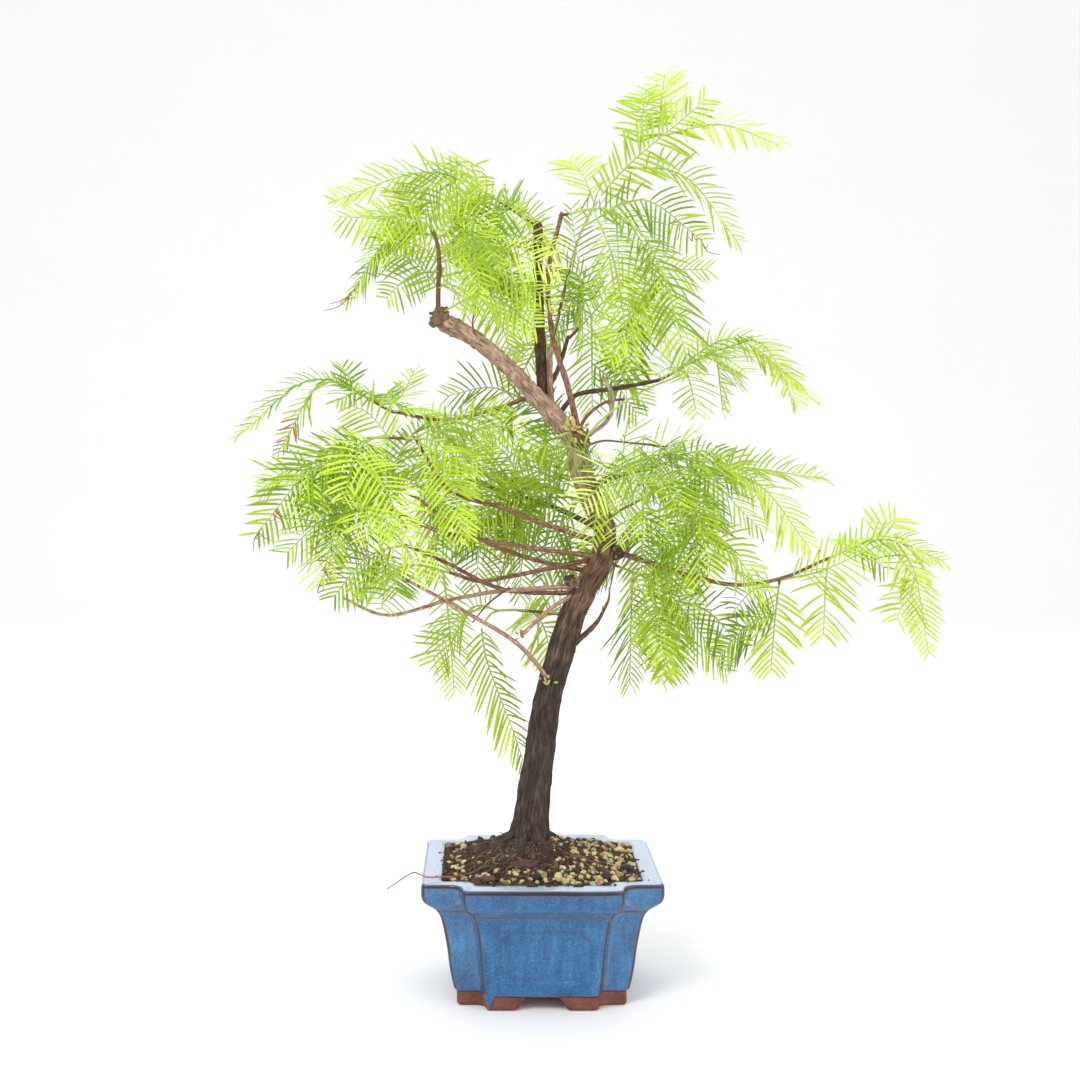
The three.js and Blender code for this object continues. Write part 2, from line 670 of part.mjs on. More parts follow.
// One mass: its twigs and sprays fused, and cut clear of the limb that carries it.
function massSolid(name, mass, seed) {
  const random = seeded(seed);
  const carrier = grownLimbs[mass.bough];
  const others = placed.filter((solid) => solid !== carrier);
  const curves = [];
  const leftOut = [];
  let solid = null;
  const join = (piece) => {
    solid = solid ? solid.add(piece) : piece;
  };
  const isFree = (fat, around) => !around.some((other) => touches(fat, other));
  // A spray is turned about its rib until it clears the limbs and the masses beside it.
  const addSpray = (curve, label) => {
    for (let turn = 0; turn < spray.turns; turn += 1) {
      const face = faceOf(random);
      if (isFree(sprayBlade(curve, face, spray.fat), placed)) {
        join(sprayBlade(curve, face));
        return;
      }
    }
    leftOut.push(label);
  };
  mass.shoots.forEach((shoot, index) => {
    const start = index === 0 ? vector(mass.from) : curves[shoot.on].getPointAt(shoot.at);
    const curve = shootCurve(start, shoot);
    curves.push(curve);
    const length = curve.getLength();
    const twigShare = Math.max(spray.shortest, 1 - spray.blade / length);
    const twig = stretch(curve, 0, twigShare + spray.root, 4);
    const steps = Math.max(2, Math.round((length * twigShare) / spray.step));
    const path = Array.from({ length: steps + 1 }, (_, k) => twig.getPointAt(k / steps).toArray());
    const thick = [spray.twig, spray.tip];
    if (!isFree(limb(path, thick, { sides: 3, steps, grow: spray.fat }), others)) {
      leftOut.push(`${name}: shoot ${index}`);
      return;
    }
    join(limb(path, thick, { sides: 3, steps }));
    addSpray(stretch(curve, twigShare, 1, 5), `${name}: end ${index}`);
    const room = length * twigShare - spray.bare;
    const count = Math.floor(room / (shoot.gap ?? spray.gap));
    for (let k = 0; k < count; k += 1) {
      const u = ((k + 0.8) / (count + 0.3)) * twigShare;
      const hand = (k + index) % 2 ? 1 : -1;
      const along = curve.getTangentAt(u);
      const across = along.clone().cross(faceOf(random)).normalize().multiplyScalar(hand);
      const reach = (shoot.side ?? spray.side) * (0.85 + 0.3 * random());
      const root = curve.getPointAt(u);
      const towards = along.clone().multiplyScalar(spray.forward).addScaledVector(across, spray.outward);
      const bend = root.clone().addScaledVector(towards, reach * 0.5);
      const end = root.clone().addScaledVector(towards, reach).addScaledVector(up, -reach * spray.hang);
      const rib = new THREE.CatmullRomCurve3([root, bend, end], false, 'centripetal');
      addSpray(rib, `${name}: side ${index}.${k}`);
    }
  });
  return { solid: largest(solid.subtract(carrier)), leftOut };
}

const leftOut = [];
Object.entries(masses).forEach(([name, mass], index) => {
  const grown = massSolid(name, mass, 100 + index);
  place(`foliage_${name}`, grown.solid, 'needles');
  placed.push(grown.solid);
  leftOut.push(...grown.leftOut);
});
group.userData.leftOut = leftOut; // the shoots and sprays that found no free place

const bounds = new THREE.Box3().setFromObject(group);
const middle = bounds.getCenter(new THREE.Vector3());
group.position.set(-middle.x, -middle.y, -bounds.min.z);

export default group;
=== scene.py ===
import bpy
import bmesh
import math
import numpy as np
from mathutils import Matrix, Vector, noise
from mathutils.kdtree import KDTree


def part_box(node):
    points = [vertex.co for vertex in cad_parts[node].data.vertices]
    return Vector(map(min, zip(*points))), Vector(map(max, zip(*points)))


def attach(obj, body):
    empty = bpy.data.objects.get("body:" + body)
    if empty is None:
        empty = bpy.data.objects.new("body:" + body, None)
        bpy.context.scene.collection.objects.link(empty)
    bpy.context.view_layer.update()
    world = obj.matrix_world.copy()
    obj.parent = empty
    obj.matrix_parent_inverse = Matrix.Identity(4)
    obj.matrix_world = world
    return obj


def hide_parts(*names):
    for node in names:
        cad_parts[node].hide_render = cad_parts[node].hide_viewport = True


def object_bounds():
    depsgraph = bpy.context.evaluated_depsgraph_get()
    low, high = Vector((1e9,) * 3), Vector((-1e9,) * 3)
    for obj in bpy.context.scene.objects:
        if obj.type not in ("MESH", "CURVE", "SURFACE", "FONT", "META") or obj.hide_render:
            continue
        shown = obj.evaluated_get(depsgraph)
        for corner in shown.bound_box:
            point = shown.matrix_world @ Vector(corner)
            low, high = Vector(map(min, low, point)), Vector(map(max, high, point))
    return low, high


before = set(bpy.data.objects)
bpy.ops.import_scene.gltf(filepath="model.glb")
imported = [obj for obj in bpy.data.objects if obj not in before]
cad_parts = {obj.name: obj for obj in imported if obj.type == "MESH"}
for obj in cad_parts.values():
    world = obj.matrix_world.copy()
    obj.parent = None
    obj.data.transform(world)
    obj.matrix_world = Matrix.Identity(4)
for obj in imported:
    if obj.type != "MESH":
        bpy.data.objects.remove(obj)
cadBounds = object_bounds()
mm = 0.001
potLow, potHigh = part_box("pot")
potMiddle = Vector(((potLow.x + potHigh.x) / 2, (potLow.y + potHigh.y) / 2, 0))
toFrame = Matrix.Translation(potMiddle) @ Matrix.Scale(mm, 4)  # millimetres round the pot's middle


# Camera, light and floor

view = {"place": (-36, -890, 355), "lens": 45.13, "shift": (0.051, -0.089)}
cameraData = bpy.data.cameras.new("camera")
cameraData.lens = view["lens"]
cameraData.sensor_width = 36
cameraData.shift_x, cameraData.shift_y = view["shift"]
cameraData.clip_start = 0.01
camera = bpy.data.objects.new("camera", cameraData)
bpy.context.collection.objects.link(camera)
camera.matrix_world = Matrix.Translation(toFrame @ Vector(view["place"])) @ Matrix.Rotation(math.pi / 2, 4, "X")
bpy.context.scene.camera = camera
bpy.context.scene.view_settings.view_transform = "Standard"


# A screen colour of 0 to 255 as the linear one that a shader takes
def linear(red, green, blue):
    shares = (c / 255 for c in (red, green, blue))
    return tuple(c / 12.92 if c < 0.04 else ((c + 0.055) / 1.055) ** 2.4 for c in shares) + (1,)


# An output of a node, with arithmetic
class Field:
    def __init__(self, shader, socket):
        self.shader = shader
        self.socket = socket

    def __add__(self, other):
        return self.shader.maths("ADD", self, other)

    def __sub__(self, other):
        return self.shader.maths("SUBTRACT", self, other)

    def __rsub__(self, other):
        return self.shader.maths("SUBTRACT", other, self)

    def __mul__(self, other):
        return self.shader.maths("MULTIPLY", self, other)

    __radd__ = __add__
    __rmul__ = __mul__


class Shader:
    def __init__(self, name, **constants):
        self.material = bpy.data.materials.new(name)
        self.material.use_nodes = True
        self.tree = self.material.node_tree
        self.surface = self.tree.nodes["Principled BSDF"]
        for key, value in constants.items():
            self.plug(self.surface.inputs[key.replace("_", " ")], value)

    def plug(self, inlet, value):
        if isinstance(value, Field):
            self.tree.links.new(value.socket, inlet)
        else:
            inlet.default_value = value

    def node(self, kind, settings=None, inlets=None, outlet=0):
        node = self.tree.nodes.new("ShaderNode" + kind)
        for key, value in (settings or {}).items():
            setattr(node, key, value)
        for key, value in (inlets or {}).items():
            self.plug(node.inputs[key], value)
        return Field(self, node.outputs[outlet])

    def maths(self, operation, *values):
        return self.node("Math", {"operation": operation}, dict(enumerate(values)))

    def rise(self, value, low, high):  # 0 below low, 1 above high, smooth between
        inlets = {"Value": value, "From Min": low, "From Max": high}
        return self.node("MapRange", {"interpolation_type": "SMOOTHSTEP"}, inlets)

    def mix(self, factor, first, second):
        return self.node("Mix", {"data_type": "RGBA"}, {0: factor, 6: first, 7: second}, 2)

    def places(self):
        return self.node("TexCoord", outlet="Object")

    def attribute(self, name, outlet="Vector"):
        return self.node("Attribute", {"attribute_name": name}, outlet=outlet)

    def stretched(self, vector, scale):
        return self.node("Mapping", inlets={"Vector": vector, "Scale": scale})

    def noise(self, vector, scale, detail=4.0, roughness=0.55):
        inlets = {"Vector": vector, "Scale": scale, "Detail": detail, "Roughness": roughness}
        return self.node("TexNoise", inlets=inlets)

    def cells(self, vector, scale):
        return self.node("TexVoronoi", inlets={"Vector": vector, "Scale": scale}, outlet="Distance")

    def ramp(self, value, stops):
        field = self.node("ValToRGB", inlets={"Fac": value})
        ramp = field.socket.node.color_ramp
        while len(ramp.elements) < len(stops):
            ramp.elements.new(0.5)
        for element, (position, colour) in zip(ramp.elements, stops):
            element.position = position
            element.color = colour
        return field

    def bump(self, height, distance, strength):
        inlets = {"Height": height, "Distance": distance, "Strength": strength}
        self.give(Normal=self.node("Bump", inlets=inlets, outlet="Normal"))

    def give(self, **values):
        for key, value in values.items():
            self.plug(self.surface.inputs[key.replace("_", " ")], value)


backdrop = {"width": 14, "front": -4, "back": 1.9, "curve": 1.1, "height": 5}
paper = Shader("paper", Roughness=0.95)
paperTones = [(0, (0.9, 0.9, 0.9, 1)), (1, (0.92, 0.92, 0.92, 1))]
paper.give(Base_Color=paper.ramp(paper.noise(paper.places(), 3), paperTones))
flat = backdrop["back"] - backdrop["front"]
arc = backdrop["curve"] * math.pi / 2
run = flat + arc + backdrop["height"]
sheetMesh = bmesh.new()
bmesh.ops.create_grid(sheetMesh, x_segments=2, y_segments=120, size=0.5)
for vert in sheetMesh.verts:
    far = (vert.co.y + 0.5) * run
    turn = min(max((far - flat) / backdrop["curve"], 0), math.pi / 2)
    vert.co = (
        vert.co.x * backdrop["width"],
        backdrop["front"] + min(far, flat) + backdrop["curve"] * math.sin(turn),
        backdrop["curve"] * (1 - math.cos(turn)) + max(far - flat - arc, 0),
    )
floorMesh = bpy.data.meshes.new("floor")
sheetMesh.to_mesh(floorMesh)
sheetMesh.free()
floor = bpy.data.objects.new("floor", floorMesh)
bpy.context.collection.objects.link(floor)
floorMesh.materials.append(paper.material)
floorMesh.polygons.foreach_set("use_smooth", [True] * len(floorMesh.polygons))

world = bpy.data.worlds.new("studio")
world.use_nodes = True
sky = world.node_tree.nodes["Background"].inputs
sky["Color"].default_value = (0.98, 0.99, 1, 1)
sky["Strength"].default_value = 0.95
bpy.context.scene.world = world

lamps = [  # place in metres, size and watts
    {"name": "key", "place": (-1.0, -1.3, 1.7), "size": 0.7, "power": 22},
    {"name": "fill", "place": (1.5, -1.1, 1.1), "size": 1.6, "power": 9},
    {"name": "above", "place": (0.1, 0.5, 2.0), "size": 1.4, "power": 9},
]
lampAim = Vector((0, 0, 0.28))
for lamp in lamps:
    light = bpy.data.lights.new(lamp["name"], "AREA")
    light.size = lamp["size"]
    light.energy = lamp["power"]
    holder = bpy.data.objects.new(lamp["name"], light)
    bpy.context.collection.objects.link(holder)
    holder.location = lamp["place"]
    holder.rotation_euler = (lampAim - holder.location).to_track_quat("-Z", "Y").to_euler()
print("stage: camera, floor and light made")


# Helpers for shapes


# Random numbers that are the same in each run
class Seeded:
    def __init__(self, seed):
        self.state = np.random.default_rng(seed)

    def between(self, low, high):
        return float(self.state.uniform(low, high))

    def pick(self, weights):
        return int(np.searchsorted(np.cumsum(weights) / sum(weights), self.state.random()))


# A smooth curve through points, with fine steps between two of them, measured along its length
class Path:
    def __init__(self, points, fine=24):
        p = np.array(points, float)
        p = np.vstack([2 * p[0] - p[1], p, 2 * p[-1] - p[-2]])
        s = (np.arange(fine) / fine)[:, None]
        rows = []
        for a, b, c, d in zip(p, p[1:], p[2:], p[3:]):
            g, h, k = (max(np.linalg.norm(q - r), 1e-6) ** 0.5 for q, r in ((b, a), (c, b), (d, c)))
            t = ((b - a) / g - (c - a) / (g + h) + (c - b) / h) * h
            w = ((c - b) / h - (d - b) / (h + k) + (d - c) / k) * h
            rows.append(b + s * t + s**2 * (3 * (c - b) - 2 * t - w) + s**3 * (2 * (b - c) + t + w))
        self.line = np.vstack(rows + [p[-2:-1]])
        self.reach = np.concatenate([[0], np.cumsum(np.linalg.norm(np.diff(self.line, axis=0), axis=1))])
        self.length = float(self.reach[-1])

    def at(self, share):
        far = np.asarray(share) * self.length
        return np.stack([np.interp(far, self.reach, self.line[:, k]) for k in range(3)], -1)

    def along(self, share):
        share = np.asarray(share)
        step = self.at(np.clip(share + 0.01, 0, 1)) - self.at(np.clip(share - 0.01, 0, 1))
        return step / np.linalg.norm(step, axis=-1, keepdims=True)

    def spread(self, values, share):
        even = np.interp(np.linspace(0, 1, len(self.line)), np.linspace(0, 1, len(values)), values)
        return np.interp(np.asarray(share) * self.length, self.reach, even)

    def part(self, low, high, count):
        return Path(self.at(np.linspace(low, high, count + 1)), 10)


def unit(v):
    return v / np.linalg.norm(v, axis=-1, keepdims=True)


# A visible piece on the plant's one body, in place of the nodes named
def pieceOf(name, mesh, materials, nodes, smooth=True):
    piece = bpy.data.objects.new(name, mesh)
    bpy.context.collection.objects.link(piece)
    for material in materials:
        mesh.materials.append(material)
    mesh.polygons.foreach_set("use_smooth", [smooth] * len(mesh.polygons))
    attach(piece, "root")
    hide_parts(*nodes)


# The mesh of a bmesh in millimetres, moved into the frame
def meshOf(bm, name):
    bmesh.ops.remove_doubles(bm, verts=bm.verts, dist=1e-4)
    bmesh.ops.recalc_face_normals(bm, faces=bm.faces)
    bm.transform(toFrame)
    mesh = bpy.data.meshes.new(name)
    bm.to_mesh(mesh)
    bm.free()
    return mesh


def coordinates(bm):
    return np.array([vert.co[:] for vert in bm.verts])


def setCoordinates(bm, places):
    for vert, place in zip(bm.verts, places.tolist()):
        vert.co = place


def uprightEdges(bm):
    return [edge for edge in bm.edges if abs(edge.verts[0].co.z - edge.verts[1].co.z) > 0.5]


def vertsOf(grown):
    return [part for part in grown["geom"] if isinstance(part, bmesh.types.BMVert)]


# A limb's skin round a path, its radius given by a function of turn, share and millimetres along
def skin(path, sides, spacing, radius):
    levels = max(4, round(path.length / spacing))
    bm = bmesh.new()
    bmesh.ops.create_cone(bm, cap_ends=True, segments=sides, radius1=1, radius2=1, depth=1)
    bmesh.ops.subdivide_edges(bm, edges=uprightEdges(bm), cuts=levels - 1, use_grid_fill=True)
    shape = coordinates(bm)
    level = np.rint((shape[:, 2] + 0.5) * levels).astype(int)
    turn = np.arctan2(shape[:, 1], shape[:, 0])
    shares = np.linspace(0, 1, levels + 1)
    centres = path.at(shares)
    alongs = path.along(shares)
    side = np.array([0.0, 1.0, 0.0])
    sideways = []
    for along in alongs:
        side = unit(side - along * side.dot(along))
        sideways.append(side)
    sideways = np.array(sideways)
    others = np.cross(alongs, sideways)
    reach = radius(turn, shares[level], shares[level] * path.length)
    mean = np.zeros(levels + 1)
    np.add.at(mean, level, reach / sides)
    left = (1 - shares) * path.length / np.maximum(mean, 0.1)  # the far end closes in a round
    reach = reach * np.sqrt(np.clip(1 - np.clip(1 - left, 0, 1) ** 2, 0.03, 1))[level]
    places = (
        centres[level]
        + sideways[level] * (np.cos(turn) * reach)[:, None]
        + others[level] * (np.sin(turn) * reach)[:, None]
    )
    grain = np.stack([np.cos(turn) * mean[level], np.sin(turn) * mean[level], shares[level] * path.length], -1)
    layer = bm.verts.layers.float_vector.new("grain")
    for vert, value in zip(bm.verts, grain.tolist()):
        vert[layer] = value
    setCoordinates(bm, places)
    return bm


# Ridged, stretched noise round a limb, from about -1 to 1
def furrows(turn, far, around, stretch, seed):
    spots = np.stack([np.cos(turn) * around, np.sin(turn) * around + seed, far / stretch], -1)
    return np.array([1 - 3 * abs(noise.noise(Vector(spot))) for spot in spots.tolist()])


# Many copies of one small closed shape as a mesh, placed by arrays
def manyOf(name, shape, faces, places, slots=None):
    count, size = len(places), len(shape)
    mesh = bpy.data.meshes.new(name)
    mesh.vertices.add(count * size)
    inFrame = places.reshape(-1, 3) * mm + np.array(potMiddle)
    mesh.vertices.foreach_set("co", inFrame.astype(np.float32).ravel())
    corners = (faces[None] + (np.arange(count) * size)[:, None, None]).ravel()
    mesh.loops.add(len(corners))
    mesh.loops.foreach_set("vertex_index", corners.astype(np.int32))
    mesh.polygons.add(count * len(faces))
    mesh.polygons.foreach_set("loop_start", np.arange(0, len(corners), 3, dtype=np.int32))
    if slots is not None:
        mesh.polygons.foreach_set("material_index", np.repeat(slots, len(faces)).astype(np.int32))
    mesh.update(calc_edges=True)
    mesh.validate()
    return mesh


def arraysOf(bm):
    bmesh.ops.triangulate(bm, faces=bm.faces)
    bmesh.ops.recalc_face_normals(bm, faces=bm.faces)
    bm.verts.index_update()
    shape = coordinates(bm)
    faces = np.array([[vert.index for vert in face.verts] for face in bm.faces])
    bm.free()
    return shape, faces


# Round strands as one mesh: each is its points, radii along it and material slot
def strandsOf(name, strands, materials, finer=0):
    curve = bpy.data.curves.new(name, "CURVE")
    curve.dimensions = "3D"
    curve.bevel_depth = mm
    curve.bevel_resolution = finer
    curve.use_fill_caps = True
    for material in materials:
        curve.materials.append(material)
    for points, thick, slotIndex in strands:
        spline = curve.splines.new("POLY")
        spline.points.add(len(points) - 1)
        places = np.hstack([np.asarray(points) * mm + np.array(potMiddle), np.ones((len(points), 1))])
        spline.points.foreach_set("co", places.ravel())
        radii = np.interp(np.linspace(0, 1, len(points)), np.linspace(0, 1, len(thick)), thick)
        spline.points.foreach_set("radius", radii)
        spline.material_index = slotIndex
    holder = bpy.data.objects.new(name, curve)
    bpy.context.collection.objects.link(holder)
    bpy.context.view_layer.update()
    mesh = bpy.data.meshes.new_from_object(holder.evaluated_get(bpy.context.evaluated_depsgraph_get()))
    bpy.data.objects.remove(holder)
    bpy.data.curves.remove(curve)
    mesh.name = name
    return mesh


# Pot: the outline is a rectangle with four notches, drawn out level by level

pot = {  # half sizes, notches, bevels and spacing of the outline, in millimetres
    "x": 76, "y": 62, "panel": 50, "wing": 49, "top": 81, "topInsets": (3.5, 6, 8.5),
    "corner": 3.6, "fillet": 9.2, "step": 1.3, "foot": 9, "clay": 1.7, "base": 0.73,
    "outside": [  # share of the rim and height, up the glazed wall
        [0.708, 9], [0.728, 10.6], [0.74, 13.4], [0.768, 25], [0.787, 37], [0.805, 45], [0.826, 53],
        [0.846, 58.4], [0.882, 62.6], [0.938, 66.2], [0.98, 69], [1, 73], [1, 78.4],
    ],
    "lip": [[0.15, 79.3], [0.5, 80.1], [1.1, 80.7], [2.1, 81]],  # inset and height over the rim's edge
    "inside": [  # share, inset and height, down to the floor
        [1, 11.6, 81], [1, 12.5, 80.7], [1, 13, 79.9], [0.97, 12.2, 75], [0.9, 10, 63], [0.775, 8, 16],
    ],
    "panelBox": {"middle": (2, 36.5), "half": (29, 16.5), "bracket": 6, "depth": 0.75},
}


# One flat face: a 3 by 3 grid without its corners, its edges rounded
def potOutline(step):
    bm = bmesh.new()
    bmesh.ops.create_grid(bm, x_segments=3, y_segments=3, size=1.5)
    notches = [face for face in bm.faces if min(map(abs, face.calc_center_median()[:2])) > 0.8]
    bmesh.ops.delete(bm, geom=notches, context="FACES")
    for vert in bm.verts:
        x, y = vert.co.x, vert.co.y
        vert.co.x = math.copysign(pot["x"] if abs(x) > 1 else pot["panel"], x)
        vert.co.y = math.copysign(pot["y"] if abs(y) > 1 else pot["wing"], y)
    bmesh.ops.dissolve_faces(bm, faces=bm.faces)
    inner = [v for v in bm.verts if abs(v.co.x) < pot["panel"] + 1 and abs(v.co.y) < pot["wing"] + 1]
    outer = [v for v in bm.verts if v not in inner]
    for verts, offset in ((outer, pot["corner"]), (inner, pot["fillet"])):
        bmesh.ops.bevel(
            bm, geom=verts, offset=offset, offset_type="OFFSET",
            affect="VERTICES", segments=6, profile=0.5, material=-1,
        )
    for edge in list(bm.edges):  # even steps along the outline
        cuts = round(edge.calc_length() / step) - 1
        if cuts > 0:
            bmesh.ops.subdivide_edges(bm, edges=[edge], cuts=cuts)
    return bm


# Where a point of the rim's outline goes for a share and an inset
def onPot(x, y, share, inset):
    moved = []
    for value, near, far in ((x, pot["panel"], pot["x"]), (y, pot["wing"], pot["y"])):
        size = abs(value)
        give = 0.6 * np.minimum(size / near, 1) + 0.4 * np.clip((size - near) / (far - near), 0, 1)
        moved.append(np.sign(value) * (size * share - inset * give))
    return moved


def smoothStep(value):
    value = np.clip(value, 0, 1)
    return value * value * (3 - 2 * value)


# How near a value is to a line, from 0 to 1
def nearness(value, line, width):
    return np.exp(-(((value - line) / width) ** 2))


# The section's rows: share, inset, height and zone, which is 0 wall, 1 lip, 2 rim's top and 3 inside
low, high = pot["outside"][0][1], pot["outside"][-1][1]
wallLine = Path([[share * 100, 0, z] for share, z in pot["outside"]], 30).line
wallHeights = np.append(np.arange(low, high, pot["step"]), high)
rows = [(np.interp(z, wallLine[:, 2], wallLine[:, 0]) / 100, 0, z, 0) for z in wallHeights]
rows += [(1, inset, z, 1) for inset, z in pot["lip"]]
rows += [(1, inset, pot["top"], 2) for inset in pot["topInsets"]]
inner = np.array(pot["inside"])
innerSteps = np.append([0, 1, 2], np.linspace(2.5, 5, 14))
rows += [tuple(np.interp(k, range(6), inner[:, c]) for c in range(3)) + (3,) for k in innerSteps]
rows = np.array(rows)

# Each row is drawn out 1 higher than the last, and then moved to its real place
potMesh = potOutline(pot["step"])
for level in range(1, len(rows)):
    edges = [edge for edge in potMesh.edges if all(abs(v.co.z - level + 1) < 0.01 for v in edge.verts)]
    grown = bmesh.ops.extrude_edge_only(potMesh, edges=edges)
    bmesh.ops.translate(potMesh, verts=vertsOf(grown), vec=(0, 0, 1))
last = [edge for edge in potMesh.edges if all(v.co.z > len(rows) - 1.01 for v in edge.verts)]
bmesh.ops.edgeloop_fill(potMesh, edges=last)
shape = coordinates(potMesh)
level = np.rint(shape[:, 2]).astype(int)
share, inset, z, zone = rows[level].T
x, y = onPot(shape[:, 0], shape[:, 1], share, inset)
box = pot["panelBox"]
across = abs(x - box["middle"][0] * np.sign(-shape[:, 1])) - box["half"][0]
tall = abs(z - box["middle"][1]) - box["half"][1]
edgeOf = np.maximum(np.maximum(across, tall), box["bracket"] - np.hypot(across, tall))
onPanel = (abs(shape[:, 1]) > pot["y"] - 0.01) & (zone == 0)
sunk = box["depth"] * smoothStep(0.5 - edgeOf / 1.8) - 0.3 * nearness(edgeOf, 0.8, 1.1)
y = np.where(onPanel, y - np.sign(y) * sunk, y)
wobble = np.array([noise.noise(Vector(p)) for p in np.stack([x / 26, y / 26, z / 26], -1).tolist()])
lowered = np.where((zone > 0) | (z > 70), wobble * 0.35, 0)
setCoordinates(potMesh, np.stack([x * (1 + 0.003 * wobble), y, z + lowered * (z > 60)], -1))
cornerFar = np.minimum(
    np.hypot(abs(shape[:, 0]) - pot["x"], abs(shape[:, 1]) - pot["wing"]),
    np.hypot(abs(shape[:, 0]) - pot["panel"], abs(shape[:, 1]) - pot["y"]),
)
notchFar = np.hypot(abs(shape[:, 0]) - pot["panel"], abs(shape[:, 1]) - pot["wing"])
wall = zone == 0
worn = np.maximum.reduce([  # where the glaze broke brown: corners, rim, lip, shoulder, foot and panel
    0.78 * nearness(np.maximum(cornerFar - 1.6, 0), 0, 1.5) * np.where(wall, 1, 0.4),
    (0.8 + 0.35 * nearness(x, 0, 40)) * nearness(z, 79.4, 1.35) * (zone < 2) * (inset < 1.9),
    0.4 * nearness(z, 80.8, 0.8) * (zone == 3),
    0.75 * nearness(z, 62.6, 1.0) * wall,
    0.85 * nearness(z, 9, 1.3) * wall,
    0.3 * nearness(edgeOf, 0.8, 0.8) * onPanel,
])
pooled = 0.5 * nearness(notchFar, 0, 4) + 0.5 * nearness(z, 65, 2.2) * wall  # where it is thick and dark
pooled = pooled + 0.8 * nearness(edgeOf, -0.9, 0.9) * onPanel + 0.6 * nearness(z, 76, 4) * onPanel
thin = 0.05 * (wall & (abs(shape[:, 0]) > pot["panel"] + 3))  # painted sheen: pale on the rim's top and lip edge as a painted reflection of the sky, a little paler on the side walls as painted light
thin = thin + 1.0 * ((zone == 2) | ((zone == 1) & (inset > 1.9)) | ((zone == 3) & (z > 80)))
for name, values in (("worn", worn), ("pooled", pooled), ("thin", thin)):
    layer = potMesh.verts.layers.float.new(name)
    for vert, value in zip(potMesh.verts, values.tolist()):
        vert[layer] = value
for face in potMesh.faces:
    centre = face.calc_center_median()
    face.material_index = 1 if len(face.verts) > 8 and centre.z < 10 else 0

glaze = Shader("glazeBlue", Coat_Roughness=0.07, Coat_IOR=1.45, IOR=1.45, Specular_IOR_Level=0.25)
spots = glaze.places()
worn = glaze.attribute("worn", "Fac")
pooled = glaze.attribute("pooled", "Fac")
cloud = glaze.noise(spots, 34, 5, 0.6)
streak = glaze.noise(glaze.stretched(spots, (1, 1, 0.16)), 210, 4, 0.6)
speckle = glaze.noise(spots, 760, 5, 0.7)
crackle = glaze.cells(spots, 620)
blues = [
    (0.3, linear(10, 56, 100)), (0.45, linear(22, 86, 134)),
    (0.56, linear(36, 104, 154)), (0.7, linear(78, 142, 188)),
]
browns = [(0.45, linear(104, 62, 46)), (0.75, linear(54, 32, 26)), (1, linear(26, 15, 13))]
body = glaze.ramp(cloud * 0.45 + streak * 0.4 + speckle * 0.15, blues)
body = glaze.mix(glaze.rise(speckle, 0.52, 0.68) * 0.42, body, linear(96, 148, 190))
body = glaze.mix(glaze.rise(1 - speckle, 0.52, 0.68) * 0.5, body, linear(6, 32, 66))
crazed = glaze.rise(1 - crackle, 0.78, 0.95) * glaze.rise(cloud, 0.4, 0.6)
body = glaze.mix(crazed * 0.4, body, linear(22, 48, 88))
body = glaze.mix(pooled * 0.55, body, linear(24, 54, 96))
# painted reflection and painted light: the rim's top, the lip edge and the side walls are mixed towards pale
# blue-white
body = glaze.mix(glaze.attribute("thin", "Fac") * 0.9, body, linear(184, 198, 222))
uneven = glaze.noise(spots, 90, 4, 0.6)
breaks = glaze.rise(worn * (uneven * 0.9 + 0.55) + streak * 0.6 + speckle * 0.5 + cloud * 0.3 - 0.72, 0.2, 0.75)
body = glaze.mix(breaks * 0.95, body, glaze.ramp(worn + streak * 0.4 - 0.2, browns))
glaze.give(
    Base_Color=body,
    Roughness=glaze.rise(cloud, 0.3, 0.8) * 0.14 + breaks * 0.2 + 0.12,
    Coat_Weight=0.95 - breaks * 0.25,
)
glaze.bump(speckle * 0.5 + streak * 0.7 + cloud, 0.0004, 0.35)

clay = Shader("bareClay")
spots = clay.places()
grit = clay.noise(spots, 700, 6, 0.7)
smear = clay.noise(spots, 60, 4, 0.6)
reds = [(0.3, linear(72, 38, 30)), (0.5, linear(112, 66, 52)), (0.7, linear(150, 98, 78))]
clay.give(Base_Color=clay.ramp(grit * 0.5 + smear * 0.5, reds), Roughness=0.72 + grit * 0.2)
clay.bump(grit, 0.0005, 0.6)
pieceOf("potGlazed", meshOf(potMesh, "potGlazed"), [glaze.material, clay.material], ["pot"])

feet = {"low": 16, "high": 10.5, "soft": 2.4, "into": 0.4, "outlineStep": 6}
feetMesh = bmesh.new()
for sx, sy in ((1, 1), (-1, 1), (-1, -1), (1, -1)):
    foot = potOutline(feet["outlineStep"])
    shape = coordinates(foot)
    x, y = onPot(shape[:, 0], shape[:, 1], pot["base"], pot["clay"])
    setCoordinates(foot, np.stack([x, y, shape[:, 2]], -1))
    grown = bmesh.ops.extrude_face_region(foot, geom=foot.faces[:])
    bmesh.ops.translate(foot, verts=vertsOf(grown), vec=(0, 0, pot["foot"] + feet["into"]))
    lean = (feet["low"] - feet["high"]) / pot["foot"]
    for side in ((sx, 0, 0), (0, sy, 0)):  # the arches between the feet
        cut = bmesh.ops.bisect_plane(
            foot, geom=foot.verts[:] + foot.edges[:] + foot.faces[:], clear_inner=True,
            plane_co=Vector(side) * feet["low"], plane_no=Vector(side) + Vector((0, 0, lean)),
        )["geom_cut"]
        bmesh.ops.edgeloop_fill(foot, edges=[part for part in cut if isinstance(part, bmesh.types.BMEdge)])
    bmesh.ops.remove_doubles(foot, verts=foot.verts, dist=0.01)
    sharp = [
        edge for edge in foot.edges
        if max(v.co.z for v in edge.verts) < 5 and len(edge.link_faces) == 2 and edge.calc_face_angle() > 0.7
    ]
    bmesh.ops.bevel(foot, geom=sharp, offset=feet["soft"], affect="EDGES", segments=4, profile=0.5, material=-1)
    held = bpy.data.meshes.new("foot")
    foot.to_mesh(held)
    foot.free()
    feetMesh.from_mesh(held)
    bpy.data.meshes.remove(held)
